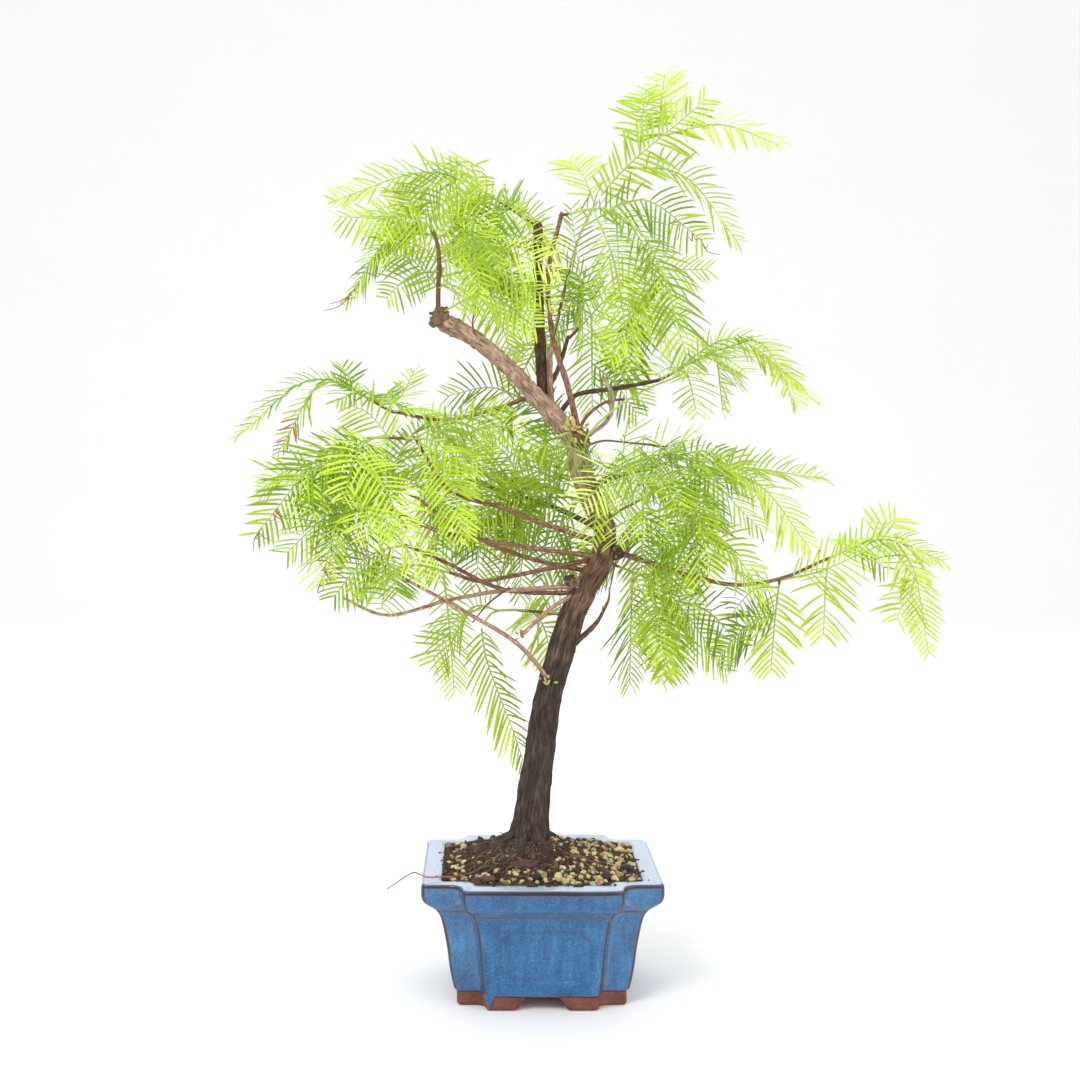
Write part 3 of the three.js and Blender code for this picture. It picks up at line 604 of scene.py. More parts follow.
pieceOf("potFeet", meshOf(feetMesh, "potFeet"), [clay.material], ["pot"], smooth=False)

drip = {"middle": (-33.4, -43.9, 7.4), "half": (3.3, 1.1, 5.4)}  # a run of glaze over the left front foot
dripMesh = bmesh.new()
bmesh.ops.create_uvsphere(dripMesh, u_segments=32, v_segments=24, radius=1)
for vert in dripMesh.verts:
    widen = 0.5 + 0.85 * smoothStep((vert.co.z + 0.5) / 1.4)
    stretch = (drip["half"][0] * widen, *drip["half"][1:])
    vert.co = [middle + half * share for middle, half, share in zip(drip["middle"], stretch, vert.co)]
pieceOf("potDrips", meshOf(dripMesh, "potDrips"), [glaze.material], ["pot"])
print("stage: pot made")


# Soil: a mound of crumbs, pebbles, bark chips and matted roots

mound = {  # rings are distance from the middle and height
    "middle": (-7.4, 0), "half": (67, 53), "notch": (46, 45), "under": 72, "step": 1.25, "rough": 1.25,
    "rings": [[0, 96], [15, 95.2], [20, 92.8], [28, 89.2], [38, 84.8], [50, 81.1], [62, 80.2], [110, 79.8]],
    "clods": 1.5, "clodReach": 36,
}


def moundHeight(x, y):
    far = np.hypot(x - mound["middle"][0], y - mound["middle"][1])
    rings = np.array(mound["rings"])
    clods = np.sin(x * 0.46 + 1.7 * np.sin(y * 0.33)) * np.cos(y * 0.52 + 1.4 * np.sin(x * 0.29 + 1))
    fade = np.exp(-((far / mound["clodReach"]) ** 4))
    return np.interp(far, rings[:, 0], rings[:, 1]) + mound["clods"] * clods * fade


def roughness(x, y, size, seed=0):
    spots = np.stack([x / size, y / size, np.full(len(x), seed)], -1)
    return np.array([noise.noise(Vector(spot)) for spot in spots.tolist()])


soilMesh = bmesh.new()
across, deep = (int(2 * half / mound["step"]) for half in mound["half"])
bmesh.ops.create_grid(soilMesh, x_segments=across, y_segments=deep, size=1)
bmesh.ops.scale(soilMesh, verts=soilMesh.verts, vec=(*mound["half"], 0))
notches = []
for face in soilMesh.faces:
    centre = face.calc_center_median()
    if abs(centre.x) > mound["notch"][0] and abs(centre.y) > mound["notch"][1]:
        notches.append(face)
bmesh.ops.delete(soilMesh, geom=notches, context="FACES")
flatPlaces = coordinates(soilMesh)
x, y = flatPlaces[:, 0], flatPlaces[:, 1]
crumbs = roughness(x, y, 9) * 1.6 + roughness(x, y, 3.2, 4) * 1.1 + roughness(x, y, 1.6, 8) * 0.6
z = moundHeight(x, y) + crumbs * mound["rough"]
setCoordinates(soilMesh, np.stack([x, y, z], -1))
for vert in vertsOf(bmesh.ops.extrude_face_region(soilMesh, geom=soilMesh.faces[:])):
    vert.co.z = mound["under"]
soilTop = Shader("soilDark")
spots = soilTop.places()
crumb = soilTop.noise(spots, 420, 8, 0.7)
patch = soilTop.noise(spots, 70, 4, 0.6)
fleck = soilTop.cells(spots, 520)
earths = [
    (0.3, linear(26, 19, 15)), (0.46, linear(52, 37, 27)),
    (0.6, linear(84, 62, 44)), (0.75, linear(128, 100, 72)),
]
tone = soilTop.ramp(crumb * 0.6 + patch * 0.4, earths)
soilTop.give(
    Base_Color=soilTop.mix(soilTop.rise(1 - fleck, 0.82, 0.96) * 0.5, tone, linear(140, 112, 80)),
    Roughness=0.98 - crumb * 0.15,
)
soilTop.bump(crumb + fleck * 0.6, 0.0012, 0.9)
pieceOf("soilMound", meshOf(soilMesh, "soilMound"), [soilTop.material], ["soil"])


# A grainy finish between two colours
def plainSurface(name, deep, light, scale, rough, relief=0.0004, stretch=(1, 1, 1)):
    made = Shader(name)
    grains = made.noise(made.stretched(made.places(), stretch), scale, 6, 0.65)
    spread = made.noise(made.places(), scale * 0.14, 3, 0.5)
    made.give(
        Base_Color=made.ramp(grains * 0.6 + spread * 0.4, [(0.3, linear(*deep)), (0.7, linear(*light))]),
        Roughness=grains * 0.2 + (rough - 0.1),
    )
    made.bump(grains, relief, 0.7)
    return made.material


def stoneShape(seed, flat):
    bm = bmesh.new()
    bmesh.ops.create_icosphere(bm, subdivisions=2, radius=1)
    shape = coordinates(bm)
    lumps = np.array([noise.noise(Vector(p) * 1.1 + Vector((seed * 7.3, 0, 0))) for p in shape.tolist()])
    setCoordinates(bm, shape * (1 + 0.5 * lumps)[:, None] * np.array([1, 0.85, flat]))
    return arraysOf(bm)


soilEdge = {"x": 61.5, "y": 47.5, "notchX": 40.5, "notchY": 39.5}


def insidePot(x, y):
    x, y = abs(x), abs(y)
    return x < soilEdge["x"] and y < soilEdge["y"] and (x < soilEdge["notchX"] or y < soilEdge["notchY"])


def tumbled(random, tilt):
    spin = Matrix.Rotation(random.between(0, 6.28), 3, "Z")
    nod, roll = (Matrix.Rotation(random.between(-tilt, tilt), 3, axis) for axis in "XY")
    return nod @ roll @ spin


# How likely a stone is at a place: the shares of right, front and left, and of anywhere
def likely(x, y, right, front, left, anywhere):
    return (x > right[0]) * right[1] + (y < front[0]) * front[1] + (x < left[0]) * left[1] + anywhere


stones = [  # half size from least to most, where they lie, and deep and light colour, grain and roughness
    {
        "name": "crumb", "count": 760, "size": (0.6, 1.9), "flat": 0.8, "tilt": 1,
        "where": ((0, 0), (0, 0), (0, 0), 1),
        "finish": ((34, 24, 18), (104, 76, 52), 600, 0.95),
    },
    {
        "name": "pebbleCream", "count": 210, "size": (1.1, 2.6), "flat": 0.62, "tilt": 0.7,
        "where": ((8, 1.0), (-33, 0.8), (-48, 0.7), 0.04),
        "finish": ((152, 130, 84), (232, 214, 158), 420, 0.8),
    },
    {
        "name": "pebbleTan", "count": 120, "size": (1.2, 2.8), "flat": 0.6, "tilt": 0.7,
        "where": ((4, 1.0), (-30, 0.8), (-46, 0.7), 0.08),
        "finish": ((104, 82, 58), (184, 154, 112), 420, 0.85),
    },
    {
        "name": "pebbleGreen", "count": 90, "size": (0.9, 2.1), "flat": 0.75, "tilt": 0.6,
        "where": ((4, 1.0), (-33, 0.6), (0, 0), 0.05),
        "finish": ((118, 132, 90), (194, 206, 150), 500, 0.75),
    },
    {
        "name": "charcoal", "count": 34, "size": (1.3, 2.6), "flat": 0.8, "tilt": 0.8,
        "where": ((10, 0.6), (-30, 0.5), (0, 0), 0.1),
        "finish": ((22, 20, 20), (66, 58, 54), 420, 0.85, 0.0008),
        "lumps": [  # a few large ones: place and half size
            (41, -35, 5.4), (55, -21, 5), (-4, -43, 3.6), (14, -44, 2.6), (24, 30, 3), (-30, -42, 2.8),
        ],
    },
]
bareRing = 15  # no stones this near to the trunk's middle
random = Seeded(11)
for index, stone in enumerate(stones):
    places = []
    while len(places) < stone["count"]:
        x, y = random.between(-62, 62), random.between(-48, 48)
        if not insidePot(x, y) or math.hypot(x - mound["middle"][0], y) < bareRing:
            continue
        if random.between(0, 1) < likely(x, y, *stone["where"]):
            places.append((x, y))
    sizes = [random.between(*stone["size"]) for _ in places]
    for x, y, size in stone.get("lumps", ()):
        places.append((x, y))
        sizes.append(size)
    x, y = np.array(places).T
    sizes = np.array(sizes)
    z = moundHeight(x, y) + roughness(x, y, 9) * 1.7 + sizes * 0.25
    solid, faces = stoneShape(index + 1, stone["flat"])
    turned = np.einsum("nij,vj->nvi", np.array([tumbled(random, stone["tilt"]) for _ in x]), solid)
    grown = sizes * np.array([random.between(0.8, 1.25) for _ in x])
    copies = turned * grown[:, None, None] + np.stack([x, y, z], -1)[:, None]
    mesh = manyOf(f"stones{index}", solid, faces, copies)
    stoneMaterial = plainSurface(stone["name"], *stone["finish"])
    pieceOf(f"stones{index}", mesh, [stoneMaterial], ["soil"], smooth=False)

barkChip = plainSurface("barkChip", (40, 24, 21), (112, 76, 64), 300, 0.85, 0.0008, (1, 1, 6))
tanChip = plainSurface("tanChip", (150, 122, 84), (206, 180, 136), 260, 0.8, 0.0005, (4, 1, 1))
chips = [  # middle, half sizes, turn and kind, which is 0 bark or 1 tan
    {"at": (-10.6, -31, 88.6), "size": (7.8, 4.4, 2.6), "turn": 0.15, "kind": 0},
    {"at": (-34, -40, 82), "size": (6.4, 3.6, 1.8), "turn": -0.5, "kind": 0},
    {"at": (22, -40, 80), "size": (8.6, 3.0, 1.0), "turn": -0.12, "kind": 1},
    {"at": (34, -22, 82), "size": (5.2, 3.4, 1.3), "turn": 0.9, "kind": 0},
    {"at": (-40, -30, 79.5), "size": (5.0, 3.2, 1.2), "turn": 2.1, "kind": 0},
    {"at": (-44, 14, 80), "size": (5.6, 2.8, 1.2), "turn": 1.2, "kind": 1},
    {"at": (48, 10, 79), "size": (4.6, 3.4, 1.2), "turn": 0.2, "kind": 0},
    {"at": (6, 38, 81), "size": (6.0, 3.6, 1.4), "turn": 2.8, "kind": 0},
]
chipMesh = bmesh.new()
for seed, chip in enumerate(chips):
    turned = Matrix.Rotation(chip["turn"], 4, "Z") @ Matrix.Diagonal((*chip["size"], 1))
    made = bmesh.ops.create_icosphere(
        chipMesh, subdivisions=4, radius=1, matrix=Matrix.Translation(chip["at"]) @ turned
    )
    for vert in made["verts"]:
        vert.co += (vert.co - Vector(chip["at"])) * 0.5 * noise.noise(vert.co * 0.3 + Vector((seed * 5, 0, 0)))
        for face in vert.link_faces:
            face.material_index = chip["kind"]
pieceOf("barkChips", meshOf(chipMesh, "barkChips"), [barkChip, tanChip], ["soil"])

roots = {
    "count": 720, "thick": (0.4, 1.3), "upright": 34, "stride": 1.7,
    "stray": [
        (-54, -36, 81.2), (-62, -38, 82.6), (-73, -41, 83.4),
        (-80, -42, 86.6), (-84, -44, 85.6), (-97, -46, 77.5),
    ],
    "loop": [(15, -20, 88), (17.5, -30, 92), (21, -36, 97)],
}
strands = []
random = Seeded(12)
for index in range(roots["count"]):
    heading = random.between(0, 6.28) if index % 3 else random.between(2.2, 5.2)
    far = random.between(9, 30)
    spot = np.array([mound["middle"][0] + math.cos(heading) * far, math.sin(heading) * far])
    heading += random.between(-2.4, 2.4)
    points = []
    for _ in range(int(random.between(10, 34))):
        if not insidePot(*spot):
            break
        lift = 1.6 * noise.noise(Vector((spot[0] / 7, spot[1] / 7, index)))
        points.append((*spot, float(moundHeight(*spot)) + lift + 0.9))
        heading += random.between(-0.7, 0.7)
        spot = spot + np.array([math.cos(heading), math.sin(heading)]) * roots["stride"]
    if len(points) > 4:
        thick = random.between(*roots["thick"]) / 2
        strands.append((points, [thick, thick * 0.8, thick * 0.4], index % 4 == 0))
for index in range(roots["upright"]):  # short ends that stand off the mat
    heading, far = random.between(0, 6.28), random.between(13, 32)
    x, y = mound["middle"][0] + math.cos(heading) * far, math.sin(heading) * far
    base = np.array([x, y, float(moundHeight(x, y)) - 0.5])
    lean = np.array([random.between(-6, 6), random.between(-6, 6), random.between(1.5, 4)])
    bent = base + lean + np.array([random.between(-6, 6), random.between(-6, 6), random.between(-2, 2)])
    strands.append((Path([base, base + lean, bent]).line[::6], [0.45, 0.36, 0.2], index % 3 == 0))
strands.append((Path(roots["stray"]).line[::8], [0.5, 0.45, 0.35], 2))
strands.append((Path(roots["loop"]).line[::8], [0.7, 0.5, 0.4], 1))
rootMaterials = [
    plainSurface("rootDark", (34, 24, 19), (80, 60, 47), 700, 0.85, 0.0003),
    plainSurface("rootLight", (84, 60, 45), (146, 114, 88), 700, 0.85, 0.0003),
    plainSurface("rootRed", (122, 72, 52), (178, 122, 96), 700, 0.85, 0.0003),
]
pieceOf("finerRoots", strandsOf("finerRoots", strands, rootMaterials, 1), [], ["soil"])
print("stage: soil made")


# Trunk and boughs, in millimetres

trunkStations = [  # height, lean to the right, depth, thickness
    [86, -7.4, 0, 27], [98, -6.6, 0, 24], [108, -5.6, 0.5, 22], [122, -4.2, 1, 21.6], [147, -0.3, 2, 18.9],
    [166, 2, 2, 18.2], [191, 6, 0, 16.6], [216, 13, -2, 17], [241, 20.7, -3, 16.5], [260, 29.8, -2, 15.2],
    [279, 40.6, 0, 15.2], [298, 43, 1, 13.8], [322, 32.5, 2, 14.2], [341, 27, 3, 15], [357, 24.5, 4, 14],
]
flare = {"lobes": 5, "depth": 0.34, "fade": 8}
bark = {"sides": 72, "spacing": 0.9, "furrow": 0.62, "fine": 0.3}
trunkPath = Path([[x, y, z] for z, x, y, _ in trunkStations], 30)
trunkThick = [station[3] for station in trunkStations]

boughs = {  # points, thickness, wood, and a share of that thickness where it isn't the wood's own
    "leader": {
        "path": [[24, 4, 357], [7, 0, 376], [-23, -5, 407], [-45, -8, 425], [-66, -10, 435.5]],
        "thick": [12.6, 11, 9.5, 9.6, 12], "wood": "pale",
    },
    "dead_stub": {"path": [[3, 9, 380], [0, 9, 440], [-1, 8, 503]], "thick": [7, 6.2, 5.6], "wood": "dark"},
    "pale_stem": {
        "path": [[9, 6, 372], [7, 6, 398], [7, 4, 420]],
        "thick": [4.8, 4.4, 3.6], "wood": "pale", "slim": 0.8,
    },
    "red_shoot": {
        "path": [[28, -1, 352], [18, -9, 392], [8, -12, 425], [5, -13, 465], [14, -14, 505]],
        "thick": [4.6, 4, 3.6, 3.4, 3], "wood": "red", "slim": 0.84,
    },
    "upper_right": {
        "path": [[14, 4, 376], [24, 10, 387], [53, 6, 392], [79, 0, 397]],
        "thick": [5, 4.6, 4.2, 3.4], "wood": "dark", "slim": 0.6,
    },
    "upper_right_low": {
        "path": [[24, 5, 353], [30, 9, 371], [44, 12, 382.6], [58, 14, 385]],
        "thick": [3.4, 2.8, 2.2], "wood": "red",
    },
    "grey_twig": {
        "path": [[28, -3, 358], [44, -8, 371], [47, -9, 385], [41, -10, 399]],
        "thick": [4.6, 4.4, 4.2, 3.4], "wood": "pale", "slim": 0.55,
    },
    "long_right": {
        "path": [[42, 2, 287], [66, 0, 279], [103, -4, 267.5], [128, -6, 263], [158, -4, 267], [188, 0, 279]],
        "thick": [6, 5, 4, 3.6, 3.2, 2.8], "wood": "red", "slim": 0.66,
    },
    "broken_stub": {
        "path": [[20, -4, 222], [37, -8, 239], [44, -9, 252.5]],
        "thick": [5, 4.2, 3.4], "wood": "dark", "slim": 0.8, "taper": 0.5,
    },
    "upper_left": {
        "path": [[-2, 4, 388], [-30, 12, 378], [-62, 8, 371], [-98, 4, 376.5]],
        "thick": [4.4, 3.8, 3.2, 2.8], "wood": "red",
    },
    "left_high": {
        "path": [[40, 0, 290], [5, -4, 302], [-27, -8, 314], [-59, -10, 325], [-82, -12, 360]],
        "thick": [5, 4.4, 4, 3.4, 2.8], "wood": "red",
    },
    "left_front": {
        "path": [[38, -3, 281], [-14, -16, 289], [-67, -26, 300], [-100, -32, 315.5]],
        "thick": [4.6, 4, 3.4, 2.8], "wood": "red",
    },
    "left_back": {
        "path": [[36, 4, 270], [-14, 14, 281], [-55, 22, 299], [-83, 28, 319.5]],
        "thick": [4.6, 4, 3.4, 2.8], "wood": "red",
    },
    "left_low": {
        "path": [[34, 0, 279], [-20, -2, 268], [-40, -3, 265], [-56, -4, 270]],
        "thick": [4.6, 3.8, 3.4, 3], "wood": "red",
    },
    "left_bare": {
        "path": [[25, -4, 262], [-30, -12, 259], [-61, -14, 253.5], [-100, -16, 244.5], [-128, -18, 256]],
        "thick": [4, 3.4, 3, 2.4, 1.8], "wood": "tan", "slim": 0.72,
    },
    "left_low_back": {
        "path": [[28, 6, 256], [-25, 16, 258], [-62, 22, 275], [-91, 26, 287]],
        "thick": [4.4, 3.8, 3.2, 2.8], "wood": "red",
    },
    "bud_twig": {
        "path": [[25, -4, 258], [6, -14, 248], [-12, -18, 232]],
        "thick": [4.2, 3.6, 3.4], "wood": "tan",
    },
    "left_low_front": {
        "path": [[10, -5, 196], [-14, -16, 225], [-48, -30, 248], [-84, -40, 269]],
        "thick": [4.6, 4, 3.2, 2.6], "wood": "tan",
    },
    "back_left": {
        "path": [[38, 6, 300], [10, 40, 312], [-26, 72, 322], [-48, 88, 330]],
        "thick": [5.4, 4.4, 3.6, 3], "wood": "dark", "slim": 0.7,
    },
    "back_right": {
        "path": [[32, 8, 326], [58, 36, 334], [82, 60, 338]],
        "thick": [5, 4, 3.2], "wood": "dark", "slim": 0.7,
    },
    "back_top": {
        "path": [[0, 4, 384], [12, 28, 402], [22, 46, 430]],
        "thick": [4.8, 4, 3.2], "wood": "dark", "slim": 0.7,
    },
}


# A shoot: where it leaves the first one, its end, the lift of its middle, its seed and its pairs of side fronds
def shoot(at, to, lift, seed, pairs, **more):
    return {"at": at, "to": to, "lift": lift, "seed": seed, "pairs": pairs, **more}


masses = {  # where each mass of foliage starts, and its shoots
    "top_left": {
        "dry": 0.04, "short": 0.84, "from": [-66, -11, 437], "shoots": [
            shoot(0, (-129, -26, 500), 0, 122, 4, via=(-72, -14, 496), wood=2.2),
            shoot(0.62, (-104, -52, 484), 8, 5, 0),
            shoot(0.45, (-128, 20, 452), 20, 34, 0, withered=9, tint=0),
            shoot(0.42, (-28, -40, 484), 12, 142, 2),
            shoot(0.3, (-28, 20, 462), 10, 6, 2),
            shoot(0.25, (-98, -44, 446), 6, 147, 0),
            shoot(0.16, (-50, -52, 440), 8, 106, 0),
            shoot(0.34, (14, -30, 478), 12, 60, 0),
            shoot(0.22, (8, -28, 444), 14, 33, 0),
            shoot(0.3, (10, -40, 464), 10, 71, 0),
            shoot(0.02, (-4, -26, 429), 17, 44, 0),
        ],
    },
    "top_arch": {
        "from": [-1, 8, 500], "shoots": [
            shoot(0, (-136, 6, 516), 27, 116, 2, side=50),
            shoot(0.3, (-46, 44, 482), 8, 107, 0),
            shoot(0.5, (-94, 46, 494), 6, 52, 0),
            shoot(0.12, (-24, 48, 512), 8, 44, 2),
            shoot(0.2, (-50, 52, 444), 6, 93, 2),
        ],
    },
    "top_right": {
        "mood": 0.16, "from": [7, 4, 418], "shoots": [
            shoot(0, (108, -6, 580), 0, 27, 0, via=(36, 0, 512), side=52),
            shoot(0.72, (73, 24, 594), 8, 78, 0),
            shoot(0.8, (88, 44, 610), 6, 116, 0),
            shoot(0.82, (150, -34, 544), 10, 76, 0),
            shoot(0.66, (134, 24, 492), 20, 100, 0),
            shoot(0.5, (22, 34, 548), 6, 68, 0),
            shoot(0.42, (102, -30, 484), 22, 136, 0, withered=7),
        ],
    },
    "top_front": {
        "dry": 0.06, "mood": 0.08, "from": [13, -14, 503], "shoots": [
            shoot(0, (79, -44, 452), 26, 96, 1),
            shoot(0.3, (90, -66, 398), 30, 62, 1),
            shoot(0.22, (54, -56, 404), 20, 29, 0),
        ],
    },
    "top_back": {
        "from": [22, 46, 428], "shoots": [
            shoot(0, (116, 34, 474), 20, 114, 0),
            shoot(0.3, (84, 80, 430), 16, 132, 2),
            shoot(0.2, (-36, 76, 440), 26, 116, 0),
            shoot(0.25, (30, 118, 446), 24, 75, 3),
            shoot(0.15, (24, 58, 520), 0, 114, 0),
            shoot(0.2, (38, 44, 380), 12, 16, 2),
            shoot(0.1, (-16, 60, 394), 14, 10, 1),
        ],
    },
    "upper_right": {
        "level": 0.6, "mood": 0.2, "short": 0.8, "from": [78, 0, 397], "shoots": [
            shoot(0, (186, 8, 381), 30, 147, 0),
            shoot(0.3, (128, 44, 378), 18, 28, 1),
            shoot(0.12, (98, -34, 374), 10, 43, 1),
            shoot(0.2, (128, -40, 400), 8, 145, 0),
            shoot(0.4, (158, -48, 378), 22, 76, 0),
            shoot(0.06, (166, -10, 396), 26, 18, 0),
        ],
    },
    "right_front": {
        "level": 0.5, "from": [33, -2, 328], "shoots": [
            shoot(0, (134, -56, 302), 34, 76, 4, side=62),
            shoot(0.16, (30, -52, 292), 24, 113, 1),
            shoot(0.45, (96, -64, 272), 18, 132, 2),
            shoot(0.3, (78, -84, 316), 10, 72, 0),
            shoot(0.2, (88, -26, 350), 2, 126, 0),
            shoot(0.34, (22, -58, 316), 6, 57, 0, tint=4),
            shoot(0.42, (44, -70, 296), 12, 11, 0),
        ],
    },
    "right_middle": {
        "level": 0.5, "from": [41, 1, 305], "shoots": [
            shoot(0, (189, 14, 332), 20, 82, 0, side=60),
            shoot(0.5, (174, -12, 288), 16, 37, 1),
            shoot(0.36, (114, 12, 270), 14, 78, 1),
            shoot(0.55, (156, 60, 316), 12, 149, 0),
            shoot(0.2, (70, 26, 268), 10, 6, 2),
        ],
    },
    "far_right": {
        "level": 0.5, "from": [187, 0, 278.6], "shoots": [
            shoot(0, (261, -12, 279), 14, 146, 2, side=36, short=0.85),
            shoot(0.6, (246, -30, 222), 20, 78, 1, side=36, short=0.62),
            shoot(0.04, (180, -26, 233), 12, 138, 0),
            shoot(0.2, (224, 40, 280), 8, 132, 0),
        ],
    },
    "under_right": {
        "from": [157, -4, 267], "shoots": [
            shoot(0, (155, 14, 204), 6, 52, 1),
            shoot(0.1, (118, -36, 246), 8, 104, 0, tint=0),
            shoot(0.02, (208, -16, 285), -3, 31, 0),
        ],
    },
    "low_right": {
        "from": [40, 2, 279], "shoots": [
            shoot(0, (126, 20, 202), 18, 96, 3, side=52),
            shoot(0.2, (62, 26, 192), 12, 66, 0),
            shoot(0.45, (94, 48, 195), 12, 75, 0),
            shoot(0.5, (129, -14, 224), 8, 111, 0),
        ],
    },
    "outer_left": {
        "dry": 0.04, "mood": 0.2, "level": 1.3, "short": 0.74, "from": [-97, 4, 376.3], "shoots": [
            shoot(0, (-196, -18, 359), 30, 149, 1, side=32),
            shoot(0.1, (-176, 26, 349), 32, 27, 0, side=44),
            shoot(0.08, (-84, 28, 404), -8, 30, 1),
            shoot(0.04, (-132, -14, 382), 10, 41, 0),
            shoot(0.0, (-58, -6, 372), 4, 66, 0),
        ],
    },
    "left_high": {
        "mood": 0.1, "from": [-81.6, -12, 359], "shoots": [
            shoot(0, (-181, -30, 298), 26, 98, 4, side=52, withered=8, tint=0),
            shoot(0.2, (-122, -66, 322), 12, 118, 2, tint=3),
            shoot(0.4, (-142, 8, 312), 10, 73, 1),
            shoot(0.05, (-38, -38, 342), 6, 13, 2),
            shoot(0.0, (-34, -20, 362), 8, 21, 0),
        ],
    },
    "left_front": {
        "mood": 0.1, "from": [-99.5, -32, 315], "shoots": [
            shoot(0, (-158, -58, 288), 12, 1, 1),
            shoot(0.3, (-134, -78, 272), 12, 142, 0, withered=10),
            shoot(0.2, (-104, -96, 296), 12, 28, 1),
        ],
    },
    "left_back": {
        "dry": 0.05, "mood": 0.1, "from": [-82.5, 28, 319], "shoots": [
            shoot(0, (-158, 42, 308), 16, 27, 0),
            shoot(0.2, (-114, 88, 318), 16, 52, 2),
            shoot(0.35, (-128, 60, 278), 12, 20, 0),
            shoot(0.15, (-64, 80, 298), 14, 121, 2),
        ],
    },
    "inner_left": {
        "mood": 0.1, "from": [38, 4, 311], "shoots": [
            shoot(0, (-62, 48, 326), 0, 141, 4, via=(-6, 38, 330)),
            shoot(0.2, (-30, 62, 292), 10, 77, 2),
            shoot(0.4, (-66, 52, 282), 12, 135, 1),
            shoot(0.15, (2, 34, 262), 8, 102, 2),
            shoot(0.25, (-14, 30, 344), 4, 19, 2),
        ],
    },
    "low_left": {
        "mood": 0.1, "from": [-55.5, -4, 269.8], "shoots": [
            shoot(0, (-118, -10, 258), 12, 126, 0),
            shoot(0.12, (-56, -4, 192), 8, 35, 1, side=36, short=0.8),
        ],
    },
    "low_left_back": {
        "from": [-90.5, 26, 286.8], "shoots": [
            shoot(0, (-138, 24, 252), 10, 68, 0),
            shoot(0.3, (-98, 64, 250), 8, 24, 0),
        ],
    },
    "low_left_front": {
        "from": [-83.5, -40, 268.8], "shoots": [
            shoot(0, (-122, -50, 274), 4, 53, 0),
            shoot(0.3, (-98, -80, 256), 6, 56, 0),
        ],
    },
    "hanging": {
        "mood": 0.14, "from": [20, 2, 243], "shoots": [
            shoot(0, (-11, 4, 146), 0, 82, 0, via=(-36, 3, 240)),
            shoot(0.16, (10, 34, 208), 8, 139, 1),
            shoot(0.3, (-60, 44, 222), 12, 99, 0),
        ],
    },
    "behind_leader": {
        "from": [28, 5, 338], "shoots": [
            shoot(0, (-36, 36, 350), 0, 91, 0, via=(-8, 38, 384)),
            shoot(0.3, (2, 40, 342), 18, 53, 0),
            shoot(0.5, (-62, 46, 388), 10, 36, 0),
        ],
    },
    "back_left": {
        "from": [-47, 87.5, 329.8], "shoots": [
            shoot(0, (-116, 120, 322), 16, 7, 0, side=54),
            shoot(0.2, (-38, 146, 316), 18, 4, 0),
            shoot(0.35, (-78, 116, 278), 14, 136, 0),
            shoot(0.12, (0, 118, 300), 20, 3, 0),
            shoot(0.3, (-90, 98, 356), 6, 72, 0),
        ],
    },
    "back_right": {
        "from": [81.5, 59.6, 338], "shoots": [
            shoot(0, (158, 84, 330), 16, 34, 0, side=54),
            shoot(0.2, (90, 136, 318), 20, 95, 0),
            shoot(0.4, (126, 76, 286), 14, 34, 0),
            shoot(0.1, (44, 106, 296), 18, 134, 0),
            shoot(0.3, (108, 100, 358), 4, 142, 0),
        ],
    },
}


barkSteps = (0.38, 0.47, 0.54, 0.63)  # from the furrows up to the ridges
woods = {  # colours up those steps and of the flakes, pattern, and the size of limbs of that wood
    "trunk": {
        "tones": [(26, 20, 17), (52, 41, 35), (80, 65, 56), (114, 95, 83)], "flake": (120, 100, 86),
        "around": 0.8, "stretch": 0.11, "relief": 0.0014,
        "zones": [  # heights up the trunk between which the next colours take over
            {"from": (150, 205), "tones": [(42, 27, 20), (86, 60, 45), (128, 96, 74), (176, 146, 118)]},
            {"from": (232, 262), "tones": [(58, 42, 32), (104, 80, 62), (156, 126, 100), (200, 172, 142)]},
            {"from": (262, 300), "tones": [(84, 62, 50), (136, 108, 90), (180, 152, 132), (214, 190, 170)]},
        ],
    },
    "pale": {
        "tones": [(92, 66, 54), (146, 116, 96), (188, 158, 136), (216, 192, 172)], "flake": (226, 206, 186),
        "around": 0.7, "stretch": 0.24, "relief": 0.0007,
        "sides": 26, "rough": 0.085, "slim": 1, "spacing": 0.9,
    },
    "dark": {
        "tones": [(44, 30, 24), (74, 53, 42), (102, 76, 60), (134, 106, 84)], "flake": (140, 112, 90),
        "around": 0.9, "stretch": 0.22, "relief": 0.0006,
        "sides": 20, "rough": 0.11, "slim": 1, "spacing": 1.1,
    },
    "tan": {
        "tones": [(104, 70, 54), (152, 112, 92), (190, 152, 130), (220, 192, 170)], "flake": (214, 186, 160),
        "around": 1.1, "stretch": 0.25, "relief": 0.0005,
        "sides": 16, "rough": 0.09, "slim": 0.66, "spacing": 1.1,
    },
    "red": {
        "tones": [(72, 44, 34), (116, 78, 60), (158, 114, 90), (198, 158, 130)], "flake": (192, 160, 128),
        "around": 1.1, "stretch": 0.25, "relief": 0.0005,
        "sides": 16, "rough": 0.09, "slim": 0.66, "spacing": 1.1,
    },
}


def barkStops(tones):
    return [(place, linear(*colour)) for place, colour in zip(barkSteps, tones)]


